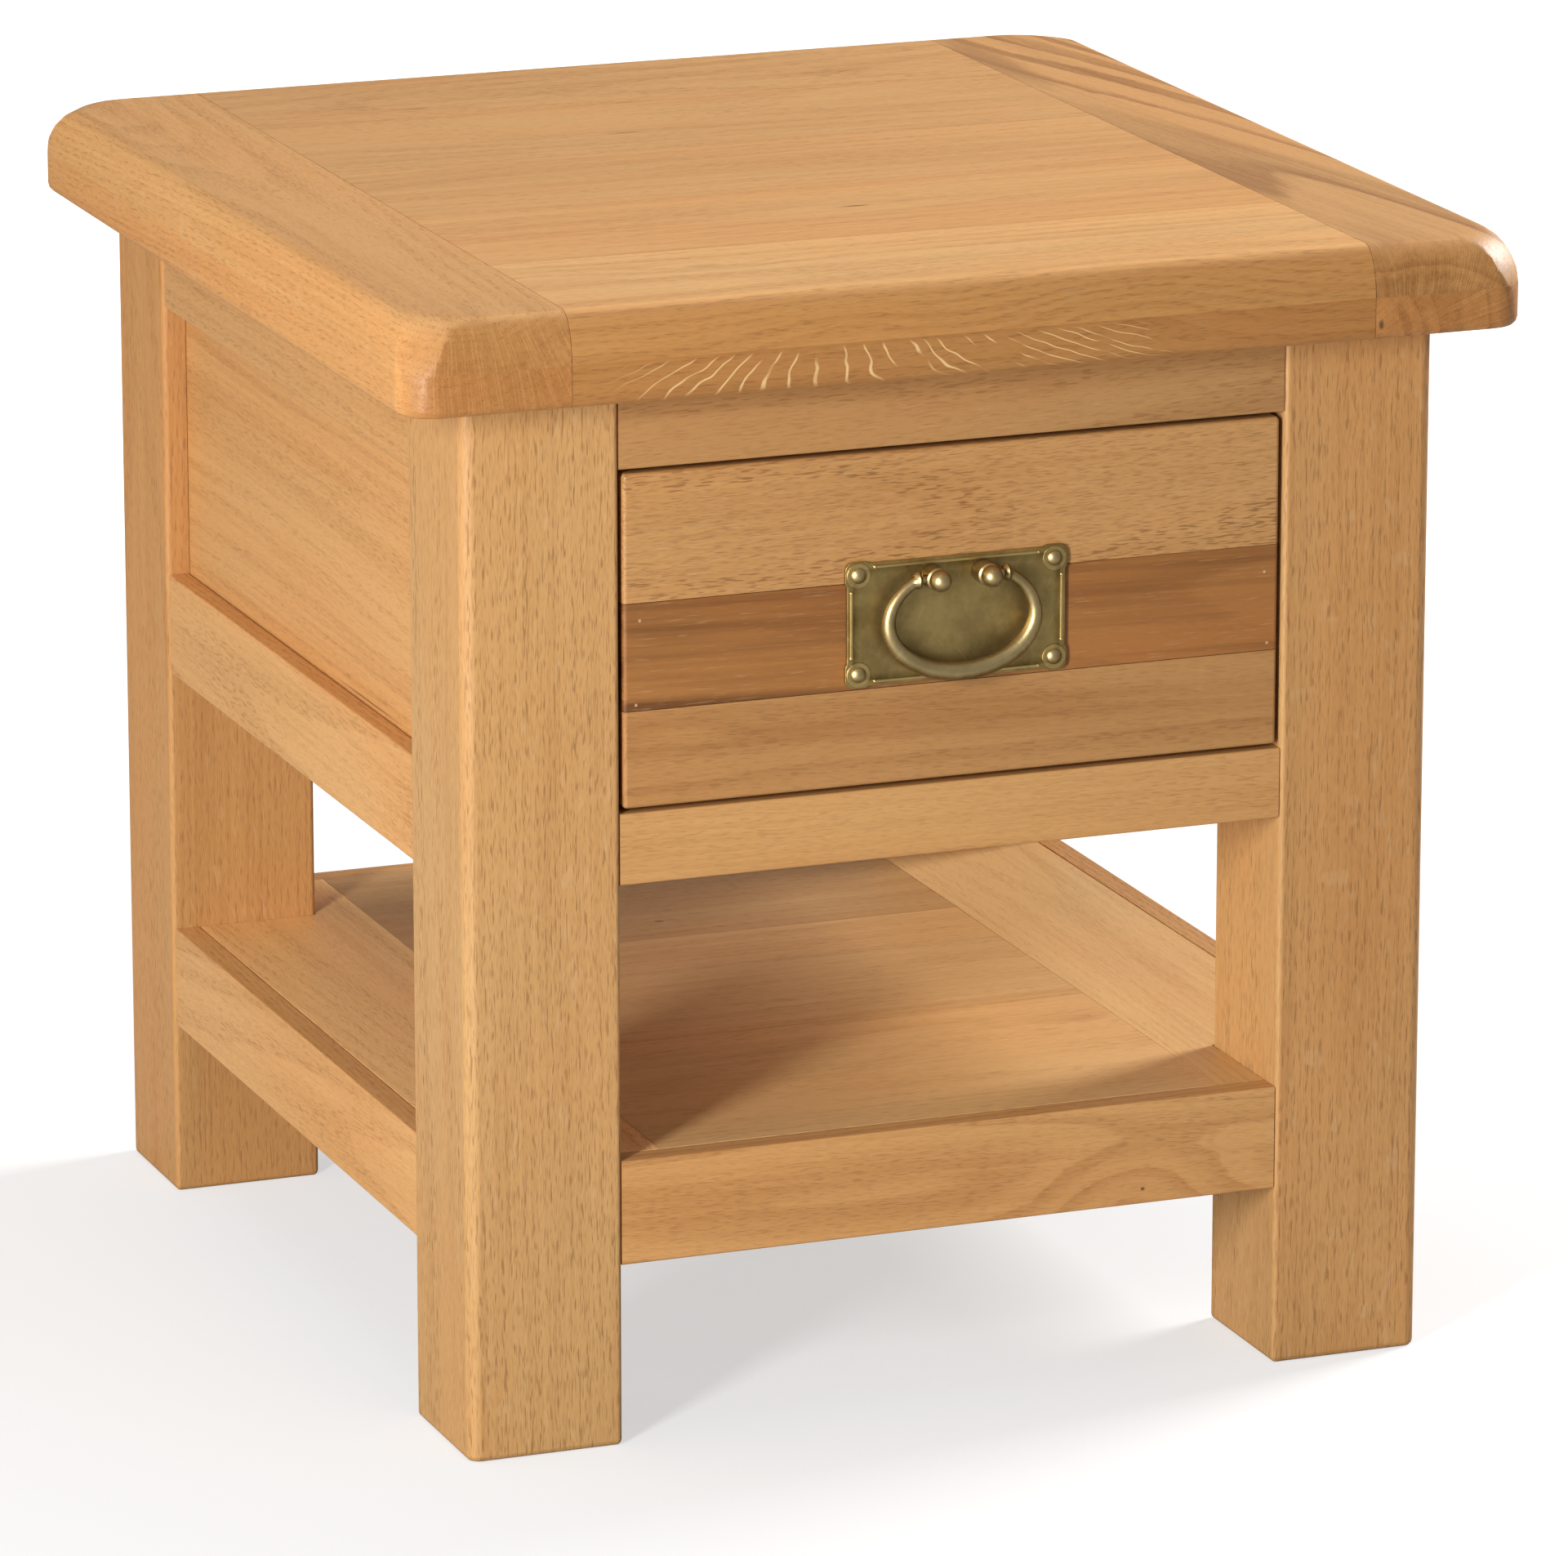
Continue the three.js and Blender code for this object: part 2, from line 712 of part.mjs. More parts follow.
// The bail hangs in one upright plane: two pins turned inwards into the posts, a collar on each,
// then an oval loop that swells towards its lowest point.
function makeBail() {
  const collarX = postX + postRadius + collarClearance + collarHalfLength;
  const pinEnd = postX + postRadius - bailPinDepth + gap;
  const startTurn = Math.acos(collarX / bailHalfWidth);
  const ovalHalfHeight = bailDrop / (1 + Math.sin(startTurn));
  const ovalZ = pivotZ - bailDrop + ovalHalfHeight;
  const half = [];
  for (let i = 0; i <= 14; i++) {
    const turn = startTurn - ((startTurn + Math.PI / 2) * i) / 14;
    half.push([bailHalfWidth * Math.cos(turn), ovalZ + ovalHalfHeight * Math.sin(turn)]);
  }
  const other = half.slice(0, -1).map(([x, z]) => [-x, z]);
  const points = [...half, ...other.reverse()].map(([x, z]) => new THREE.Vector3(x, pivotY, z));
  const path = new THREE.CatmullRomCurve3(points);
  const section = new THREE.Shape();
  section.absarc(0, 0, 1, 0, Math.PI * 2);
  const steps = 44;
  const tube = new THREE.ExtrudeGeometry(section, { steps, extrudePath: path, curveSegments: 6 });
  swell(tube, path.getSpacedPoints(steps));
  const solids = [solidOf(tube)];
  for (const side of [-1, 1]) {
    const profile = [];
    for (let i = 0; i <= 6; i++) {
      const turn = (i / 6) * Math.PI;
      profile.push(new THREE.Vector2(collarRadius * Math.sin(turn), -collarHalfLength * Math.cos(turn)));
    }
    const collar = new THREE.LatheGeometry(profile, 14);
    collar.rotateZ(-Math.PI / 2);
    collar.translate(side * collarX, pivotY, pivotZ);
    solids.push(solidOf(collar));
    solids.push(rod(bailPinRadius, [side * pinEnd, pivotY, pivotZ], [side * collarX, pivotY, pivotZ], 12));
  }
  return unionOf(solids);
}

// Gives each ring of a unit tube its own radius, thickest where the loop hangs lowest.
function swell(tube, rings) {
  const position = tube.attributes.position;
  const vertex = new THREE.Vector3();
  for (let i = 0; i < position.count; i++) {
    vertex.fromBufferAttribute(position, i);
    let nearest = rings[0];
    for (const ring of rings) {
      if (ring.distanceToSquared(vertex) < nearest.distanceToSquared(vertex)) nearest = ring;
    }
    const fall = THREE.MathUtils.clamp((pivotZ - nearest.z) / bailDrop, 0, 1);
    const radius = THREE.MathUtils.lerp(bailEndRadius, bailMiddleRadius, fall);
    vertex.sub(nearest).multiplyScalar(radius).add(nearest);
    position.setXYZ(i, vertex.x, vertex.y, vertex.z);
  }
}

// ---- Assembly ----------------------------------------------------------------------------
for (const [end, sideY] of ends) {
  for (const [hand, sideX] of hands) addPiece(`leg_${end}_${hand}`, makeLeg(sideX, sideY), "oak");
}
for (const rail of rails) addPiece(rail.name, makeRail(rail), "oak");
for (const rail of panelRails) {
  addPiece(rail.name.replace("low_rail", "panel"), panelBlock(rail, panelTongue, 0), "oak");
}

const topJoint = topWidth / 2 - topEndBoardWidth;
const topSpan = [-topDepth / 2, topDepth / 2, topBottom, tableHeight];
const slab = makeSlab().subtract(screwHoles(gap));
addBoardRow("top_board", slab, topBoardCount, topJoint, ...topSpan, topTongue);

const shelfJoint = legInnerX - shelfEndBoardReach;
const shelfSpan = [shelfFront, shelfBack, shelfTop - shelfThickness, shelfTop];
const shelf = makeShelf();
addBoardRow("shelf_board", shelf, shelfBoardCount, shelfJoint, ...shelfSpan, shelfTongue);

for (const [hand, side] of hands) {
  const topEnd = makeEndBoard(slab, side, topJoint, ...topSpan, topTongue);
  addPiece(`top_end_board_${hand}`, topEnd, "oak");
  const shelfEnd = makeEndBoard(shelf, side, shelfJoint, ...shelfSpan, shelfTongue);
  addPiece(`shelf_end_board_${hand}`, shelfEnd, "oak");
  addPiece(`drawer_runner_${hand}`, makeRunner(side), "innerWood");
  addPiece(`drawer_kicker_${hand}`, makeKicker(side), "innerWood");
  const stopX = [side * drawerSideInner, side * drawerHalfWidth];
  const stopY = [drawerEndY + gap, drawerEndY + gap + stopLength];
  const stop = block(...stopX, ...stopY, drawerRailTop + gap, drawerRailTop + stopHeight);
  addPiece(`drawer_stop_${hand}`, stop, "innerWood");
  for (const [end, sideY] of ends) addPiece(`top_screw_${end}_${hand}`, makeScrew(side, sideY), "steel");
}

const boardNames = ["low", "middle", "high"];
const frontCuts = unionOf([
  dovetails(-1, gap),
  dovetails(1, gap),
  bottomPanel(gap),
  postStuds(studRadius + gap),
  platePins(pinShankRadius + gap, drawerFrontY + pinShankLength + gap),
]);
drawerBoards.forEach(({ bottom, top }, i) => {
  const z = [bottom + (i > 0 ? gap / 2 : 0), top - (i < drawerBoards.length - 1 ? gap / 2 : 0)];
  const board = block(-drawerHalfWidth, drawerHalfWidth, drawerFrontY, drawerInnerY, ...z);
  addPiece(`drawer_front_${boardNames[i]}`, board.subtract(frontCuts), i === 1 ? "darkOak" : "oak");
});
addPiece("drawer_bottom", bottomPanel(0), "innerWood");
addPiece("drawer_back", backBoard(0), "innerWood");
addPiece("handle_plate", makePlate(), "brass");
addPiece("handle_bail", makeBail(), "brass");
for (const [hand, side] of hands) {
  addPiece(`drawer_side_${hand}`, makeDrawerSide(side), "innerWood");
  addPiece(`handle_post_${hand}`, makePost(side), "brass");
  addPiece(`handle_nut_${hand}`, makeNut(side), "steel");
  addPiece(`handle_pin_low_${hand}`, makePlatePin(side, -1), "brass");
  addPiece(`handle_pin_high_${hand}`, makePlatePin(side, 1), "brass");
}

export default group;
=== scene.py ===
import json
import math
import random

import bmesh
import bpy
from mathutils import Euler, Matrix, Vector


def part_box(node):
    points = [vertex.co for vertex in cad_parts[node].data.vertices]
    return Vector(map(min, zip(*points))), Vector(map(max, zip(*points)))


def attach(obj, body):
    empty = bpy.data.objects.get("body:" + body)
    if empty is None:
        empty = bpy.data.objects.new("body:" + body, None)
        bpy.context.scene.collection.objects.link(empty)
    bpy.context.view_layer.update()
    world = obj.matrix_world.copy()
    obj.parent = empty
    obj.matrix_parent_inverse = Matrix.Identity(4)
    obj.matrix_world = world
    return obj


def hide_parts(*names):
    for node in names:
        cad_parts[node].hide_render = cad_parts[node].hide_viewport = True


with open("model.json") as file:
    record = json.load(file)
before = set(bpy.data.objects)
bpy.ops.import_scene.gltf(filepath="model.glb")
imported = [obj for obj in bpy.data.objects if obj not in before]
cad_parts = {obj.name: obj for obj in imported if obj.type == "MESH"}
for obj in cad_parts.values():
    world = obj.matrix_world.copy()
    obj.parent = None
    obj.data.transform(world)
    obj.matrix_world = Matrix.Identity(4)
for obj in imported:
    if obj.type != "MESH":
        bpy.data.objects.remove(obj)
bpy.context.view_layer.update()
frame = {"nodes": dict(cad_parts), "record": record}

nodeBody = {name: body for body, names in frame["record"]["behaviour"]["bodies"].items() for name in names}
nodeSlot = {entry["node"]: entry["material_slot"] for entry in frame["record"]["subparts"]}
mm = 0.001


# Selecting and shaping

def selectOnly(piece):
    bpy.ops.object.select_all(action="DESELECT")
    piece.select_set(True)
    bpy.context.view_layer.objects.active = piece


def inEditMode(piece, mode="EDGE"):
    selectOnly(piece)
    bpy.ops.object.mode_set(mode="EDIT")
    bpy.ops.mesh.select_mode(type=mode)
    bpy.ops.mesh.select_all(action="DESELECT")


def applyModifier(piece, kind, **settings):
    selectOnly(piece)
    modifier = piece.modifiers.new(kind.title(), kind)
    for name, value in settings.items():
        setattr(modifier, name, value)
    bpy.ops.object.modifier_apply(modifier=modifier.name)


def smooth(piece, degrees=35):
    selectOnly(piece)
    bpy.ops.object.shade_smooth_by_angle(angle=math.radians(degrees))


def standFor(piece, node):  # the piece takes the node's place and body
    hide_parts(node)
    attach(piece, nodeBody[node])


def workingCopy(node):  # a merged copy of a frame piece, with its flat faces whole again
    selectOnly(frame["nodes"][node])
    bpy.ops.object.duplicate()
    piece = bpy.context.view_layer.objects.active
    piece.parent = None
    for key in list(piece.keys()):
        del piece[key]
    piece.name = node + "_finished"
    piece.data.name = piece.name
    piece.data.materials.clear()
    inEditMode(piece, "VERT")
    bpy.ops.mesh.select_all(action="SELECT")
    bpy.ops.mesh.remove_doubles(threshold=0.00001)
    bpy.ops.mesh.dissolve_limited(angle_limit=math.radians(0.5))
    bpy.ops.object.mode_set(mode="OBJECT")
    return piece


def convexEdges(piece, degrees=50, shortest=0.0, test=None):  # selects outward corners, in edit mode
    mesh = bmesh.from_edit_mesh(piece.data)
    found = 0
    for edge in mesh.edges:
        if len(edge.link_faces) != 2 or not edge.is_convex or edge.calc_length() < shortest:
            continue
        if edge.calc_face_angle() < math.radians(degrees):
            continue
        middle = (edge.verts[0].co + edge.verts[1].co) / 2
        if test is None or test(middle, (edge.verts[1].co - edge.verts[0].co).normalized()):
            edge.select = True
            found += 1
    bmesh.update_edit_mesh(piece.data)
    return found


def easeEdges(piece, width, segments=3, **which):
    inEditMode(piece, "EDGE")
    if convexEdges(piece, **which):
        bpy.ops.mesh.bevel(offset=width, segments=segments, affect="EDGES", clamp_overlap=True)
    bpy.ops.object.mode_set(mode="OBJECT")


def finishShading(piece, degrees=35):  # flat faces stay flat beside their rounded edges
    smooth(piece, degrees)
    applyModifier(piece, "WEIGHTED_NORMAL", keep_sharp=True, weight=80)


# Shader helpers

def addNode(tree, kind, inputs=None, **settings):
    node = tree.nodes.new(kind)
    for name, value in settings.items():
        setattr(node, name, value)
    for name, value in (inputs or {}).items():
        if isinstance(value, bpy.types.NodeSocket):
            tree.links.new(value, node.inputs[name])
        else:
            node.inputs[name].default_value = value
    return node


def calc(tree, operation, *values, clamp=False):
    node = addNode(tree, "ShaderNodeMath", dict(enumerate(values)), operation=operation, use_clamp=clamp)
    return node.outputs[0]


def total(tree, first, *others, clamp=False):  # clamp keeps the last sum between 0 and 1
    for value in others[:-1]:
        first = calc(tree, "ADD", first, value)
    return calc(tree, "ADD", first, others[-1], clamp=clamp)


def product(tree, first, *others):
    for value in others:
        first = calc(tree, "MULTIPLY", first, value)
    return first


def offCentre(tree, value, middle, strength):
    return product(tree, calc(tree, "SUBTRACT", value, middle), strength)


def vectorCalc(tree, operation, *values):
    node = addNode(tree, "ShaderNodeVectorMath", dict(enumerate(values)), operation=operation)
    return node.outputs["Value" if operation in ("LENGTH", "DOT_PRODUCT") else "Vector"]


def splitUp(tree, vector):
    return addNode(tree, "ShaderNodeSeparateXYZ", {0: vector}).outputs


def ramp(tree, value, low, high, start=0.0, end=1.0):
    inputs = {"Value": value, "From Min": low, "From Max": high, "To Min": start, "To Max": end}
    return addNode(tree, "ShaderNodeMapRange", inputs, interpolation_type="SMOOTHSTEP").outputs["Result"]


def blendColor(tree, amount, first, second, mode="MIX"):
    node = addNode(tree, "ShaderNodeMix", data_type="RGBA", blend_type=mode)
    for name, value in (("Factor_Float", amount), ("A_Color", first), ("B_Color", second)):
        socket = next(s for s in node.inputs if s.identifier == name)
        if isinstance(value, bpy.types.NodeSocket):
            tree.links.new(value, socket)
        else:
            socket.default_value = value
    return next(s for s in node.outputs if s.identifier == "Result_Color")


def noise(tree, vector, cells, seed, detail=1, roughness=0.5, output="Fac"):
    inputs = {"Vector": vectorCalc(tree, "MULTIPLY", vector, cells), "W": seed, "Scale": 1.0,
              "Detail": detail, "Roughness": roughness}
    return addNode(tree, "ShaderNodeTexNoise", inputs, noise_dimensions="4D").outputs[output]


def newGroup(name, inputs, outputs):
    tree = bpy.data.node_groups.new(name, "ShaderNodeTree")
    for socketName, (kind, value) in inputs.items():
        socket = tree.interface.new_socket(socketName, in_out="INPUT", socket_type="NodeSocket" + kind)
        if value is not None:
            socket.default_value = value
    for socketName, kind in outputs.items():
        tree.interface.new_socket(socketName, in_out="OUTPUT", socket_type="NodeSocket" + kind)
    return tree, tree.nodes.new("NodeGroupInput").outputs, tree.nodes.new("NodeGroupOutput").inputs


# Oak. Noise sizes are cells per metre: two ways across the grain, then along it.
oakNoise = {
    "sway": (5, 5, 1.1), "ripple": (34, 34, 5), "fibre": (420, 420, 7), "streak": (85, 85, 1.7),
    "cloud": (13, 13, 2.6), "blush": (19, 19, 4),
    "openPores": (1500, 1500, 170), "finePores": (2600, 2600, 230),
}
# Round the tree (cells per radian), out from its middle and along it
ringNoise = {"years": (0.6, 90, 0), "endRays": (170, 22, 0), "rays": (260, 16, 75)}
oakWaves = {"sway": 45 * mm, "ripple": 3.5 * mm}  # how far the rings wander
oakColors = {"pore": (0.26, 0.115, 0.034, 1), "ray": (0.78, 0.55, 0.31, 1), "blush": (1.04, 0.93, 0.85, 1)}


# Growth rings, open pores, fibres and rays. The vector runs along the grain in Z, with the middle
# of the tree at its origin.
def makeOakGroup():
    tree, given, wanted = newGroup(
        "oakFigure",
        {"Vector": ("Vector", None), "Seed": ("Float", 0.0), "Ring Width": ("Float", 3.5 * mm),
         "Figure": ("Float", 0.5), "Streaks": ("Float", 0.8), "Pores": ("Float", 0.5), "Rays": ("Float", 0.2),
         "Knot": ("Float", 0.0), "End Grain": ("Float", 0.0),
         "Light": ("Color", (0.6, 0.36, 0.16, 1)), "Dark": ("Color", (0.4, 0.2, 0.07, 1))},
        {"Color": "Color", "Roughness": "Float", "Height": "Float"})
    place, seed = given["Vector"], given["Seed"]

    moved = place
    for name, reach in oakWaves.items():
        wave = noise(tree, place, oakNoise[name], seed, detail=2, output="Color")
        centred = vectorCalc(tree, "SUBTRACT", wave, (0.5, 0.5, 0.5))
        moved = vectorCalc(tree, "ADD", moved, vectorCalc(tree, "MULTIPLY", centred, (reach, reach, 0)))
    x, y, z = splitUp(tree, moved)
    radius = calc(tree, "SQRT", total(tree, product(tree, x, x), product(tree, y, y)))
    radius = total(tree, radius, given["Knot"])
    turn = calc(tree, "ARCTAN2", y, calc(tree, "ABSOLUTE", x))
    polar = addNode(tree, "ShaderNodeCombineXYZ", {0: turn, 1: radius, 2: z}).outputs[0]

    years = noise(tree, polar, ringNoise["years"], seed)
    rings = total(tree, calc(tree, "DIVIDE", radius, given["Ring Width"]), product(tree, years, 3.0))
    year = calc(tree, "FRACT", rings)
    early = product(tree, ramp(tree, year, 0.0, 0.1), ramp(tree, year, 0.12, 0.75, 1.0, 0.0))

    openPores = noise(tree, place, oakNoise["openPores"], seed, detail=0)
    finePores = noise(tree, place, oakNoise["finePores"], seed, detail=0)
    poreSpread = total(tree, product(tree, early, 0.6), 0.4)
    pores = total(tree, product(tree, ramp(tree, openPores, 0.53, 0.72), poreSpread),
                  product(tree, ramp(tree, finePores, 0.52, 0.72), 0.35), clamp=True)
    fibre = noise(tree, place, oakNoise["fibre"], seed, detail=3, roughness=0.6)
    streak = noise(tree, place, oakNoise["streak"], seed, detail=3, roughness=0.6)
    cloud = noise(tree, place, oakNoise["cloud"], seed, detail=2)
    blush = splitUp(tree, noise(tree, place, oakNoise["blush"], seed, output="Color"))[1]
    rays = product(tree, ramp(tree, noise(tree, polar, ringNoise["rays"], seed), 0.62, 0.7), given["Rays"])
    endRays = ramp(tree, noise(tree, polar, ringNoise["endRays"], seed), 0.45, 0.62)

    sideGrain = calc(tree, "SUBTRACT", 1.0, product(tree, given["End Grain"], 0.65))
    endTone = calc(tree, "SUBTRACT", 0.5, product(tree, endRays, 0.4))
    tone = total(tree, product(tree, early, given["Figure"], sideGrain),
                 offCentre(tree, streak, 0.42, given["Streaks"]), offCentre(tree, fibre, 0.5, 1.0),
                 offCentre(tree, cloud, 0.5, 0.9), product(tree, given["End Grain"], endTone), clamp=True)
    color = blendColor(tree, tone, given["Light"], given["Dark"])
    blushed = ramp(tree, blush, 0.4, 0.64, 0.0, 0.5)
    color = blendColor(tree, blushed, color, oakColors["blush"], mode="MULTIPLY")
    poreDepth = product(tree, pores, given["Pores"])
    color = blendColor(tree, poreDepth, color, oakColors["pore"])
    color = blendColor(tree, rays, color, oakColors["ray"])
    paleLines = calc(tree, "MULTIPLY", ramp(tree, fibre, 0.62, 0.76, 0.0, 0.3), given["Streaks"], clamp=True)
    tree.links.new(blendColor(tree, paleLines, color, given["Light"]), wanted["Color"])
    tree.links.new(total(tree, 0.4, product(tree, poreDepth, 0.35), product(tree, fibre, 0.12),
                         product(tree, rays, -0.12)), wanted["Roughness"])
    tree.links.new(total(tree, product(tree, pores, -0.7), product(tree, early, -0.15),
                         product(tree, fibre, 0.25)), wanted["Height"])
    return tree


# A knot lifts the rings round it into ovals and leaves a dark heart. Its place is in object space.
def makeKnotGroup():
    tree, given, wanted = newGroup(
        "knot",
        {"Vector": ("Vector", None), "Place": ("Vector", None), "Stretch": ("Vector", (1, 1, 1)),
         "Size": ("Float", 8 * mm), "Lift": ("Float", 6 * mm)},
        {"Lift": "Float", "Heart": "Float"})
    away = vectorCalc(tree, "MULTIPLY", vectorCalc(tree, "SUBTRACT", given["Vector"], given["Place"]),
                      given["Stretch"])
    ragged = noise(tree, away, (160, 160, 160), 3.0, detail=2)
    share = total(tree, calc(tree, "DIVIDE", vectorCalc(tree, "LENGTH", away), given["Size"]),
                  offCentre(tree, ragged, 0.5, 0.35))
    bell = calc(tree, "EXPONENT", product(tree, share, share, -0.5))
    tree.links.new(product(tree, bell, given["Lift"]), wanted["Lift"])
    tree.links.new(ramp(tree, share, 0.12, 0.55, 1.0, 0.0), wanted["Heart"])
    return tree


fleck = {"length": 18 * mm, "hook": 4 * mm, "waver": 12 * mm, "perMetre": 120, "fade": 40 * mm}


# Pale curved rays where the lower layer of a board was sawn towards the middle of the tree. They
# fan out below Middle, start at Top and fade towards Left and Right.
def makeFleckGroup():
    tree, given, wanted = newGroup(
        "rayFlecks",
        {"Vector": ("Vector", None), "Middle": ("Float", 0.0), "Top": ("Float", 0.48),
         "Left": ("Float", -0.2), "Right": ("Float", 0.2), "Fan": ("Float", 34 * mm)},
        {"Mask": "Float"})
    x, y, z = splitUp(tree, given["Vector"])
    waver = noise(tree, given["Vector"], (55, 55, 90), 9.0)
    along = total(tree, calc(tree, "SUBTRACT", x, given["Middle"]),
                  offCentre(tree, waver, 0.5, fleck["waver"]))
    under = calc(tree, "SUBTRACT", given["Top"], z)
    fan = calc(tree, "DIVIDE", given["Fan"], total(tree, given["Fan"], calc(tree, "MAXIMUM", under, 0.0)))
    depth = calc(tree, "MAXIMUM", calc(tree, "DIVIDE", under, fleck["length"]), 0.0)
    hook = product(tree, calc(tree, "POWER", depth, 4.0), -fleck["hook"])
    cells = addNode(tree, "ShaderNodeTexVoronoi", {
        "W": total(tree, product(tree, along, fan), hook), "Scale": fleck["perMetre"], "Randomness": 1.0},
        voronoi_dimensions="1D", feature="DISTANCE_TO_EDGE")
    thin = ramp(tree, cells.outputs["Distance"], 0.03, 0.075, 1.0, 0.0)
    inside = product(tree, ramp(tree, under, 0.0, 3 * mm),
                     ramp(tree, under, 13 * mm, fleck["length"], 1.0, 0.25))
    left = ramp(tree, x, given["Left"], total(tree, given["Left"], fleck["fade"]))
    right = ramp(tree, x, calc(tree, "SUBTRACT", given["Right"], fleck["fade"]), given["Right"], 1.0, 0.0)
    patchy = ramp(tree, noise(tree, given["Vector"], (60, 60, 60), 5.0), 0.35, 0.5)
    tree.links.new(product(tree, thin, inside, left, right, patchy), wanted["Mask"])
    return tree


# Old brass: dark in the hollows, bright where rubbed and where painted highlight falls, with fine scratches
# at two slants
brassNoise = {"cloud": (55, 55, 55), "speck": (420, 420, 420)}
scratches = {38: {"cells": (1400, 60, 45), "seed": 6.0, "from": 0.66, "to": 0.74},
             -25: {"cells": (1800, 60, 50), "seed": 8.0, "from": 0.67, "to": 0.75}}


def makeBrassGroup():
    tree, given, wanted = newGroup(
        "oldBrass",
        {"Vector": ("Vector", None), "Wear And Painted Light": ("Float", 0.0),
         "Bright": ("Color", (0.62, 0.50, 0.25, 1)), "Dark": ("Color", (0.16, 0.11, 0.035, 1))},
        {"Color": "Color", "Roughness": "Float", "Height": "Float"})
    cloud = noise(tree, given["Vector"], brassNoise["cloud"], 2.0, detail=3, roughness=0.6)
    speck = noise(tree, given["Vector"], brassNoise["speck"], 4.0, detail=2, roughness=0.7)
    lines = None
    for slant, scratch in scratches.items():
        turned = addNode(tree, "ShaderNodeMapping", {
            "Vector": given["Vector"], "Rotation": (0, math.radians(slant), 0)}).outputs[0]
        line = noise(tree, turned, scratch["cells"], scratch["seed"])
        line = ramp(tree, line, scratch["from"], scratch["to"])
        lines = line if lines is None else calc(tree, "MAXIMUM", lines, line)
    tone = total(tree, ramp(tree, cloud, 0.3, 0.72), offCentre(tree, speck, 0.5, 0.55))
    tone = total(tree, product(tree, tone, 0.42), given["Wear And Painted Light"], product(tree, lines, 0.26), clamp=True)
    tree.links.new(blendColor(tree, tone, given["Dark"], given["Bright"]), wanted["Color"])
    tree.links.new(total(tree, 0.5, product(tree, tone, -0.15), product(tree, speck, 0.1)),
                   wanted["Roughness"])
    tree.links.new(calc(tree, "SUBTRACT", speck, product(tree, lines, 0.6)), wanted["Height"])
    return tree


oakFigure = makeOakGroup()
knotGroup = makeKnotGroup()
fleckGroup = makeFleckGroup()
brassGroup = makeBrassGroup()
print("shader groups")

# Turns that lay a board's length along the figure's Z
grainTurns = {"x": (0, -90, 0), "y": (90, 0, 0), "z": (0, 0, 0)}
grainDirections = {"x": (1, 0, 0), "y": (0, 1, 0), "z": (0, 0, 1)}

oakTones = {"light": (0.66, 0.35, 0.125, 1), "dark": (0.45, 0.2, 0.055, 1)}
figureDefaults = {"Ring Width": 3.4 * mm, "Figure": 0.3, "Streaks": 0.8, "Pores": 0.5, "Rays": 0.12}
figureKeys = {
    "Ring Width": "rings", "Figure": "figure", "Streaks": "streaks", "Pores": "pores", "Rays": "rays",
}
oakSurface = {"shine": 0.38, "bump": 0.25, "bumpDepth": 0.35 * mm}
fleckColor = (0.76, 0.49, 0.22, 1)
knotColor = (0.1, 0.045, 0.018, 1)


def shaded(tone, brightness, warmth):
    red, green, blue, solid = tone
    return red * brightness, green * brightness / warmth, blue * brightness / warmth ** 2, solid


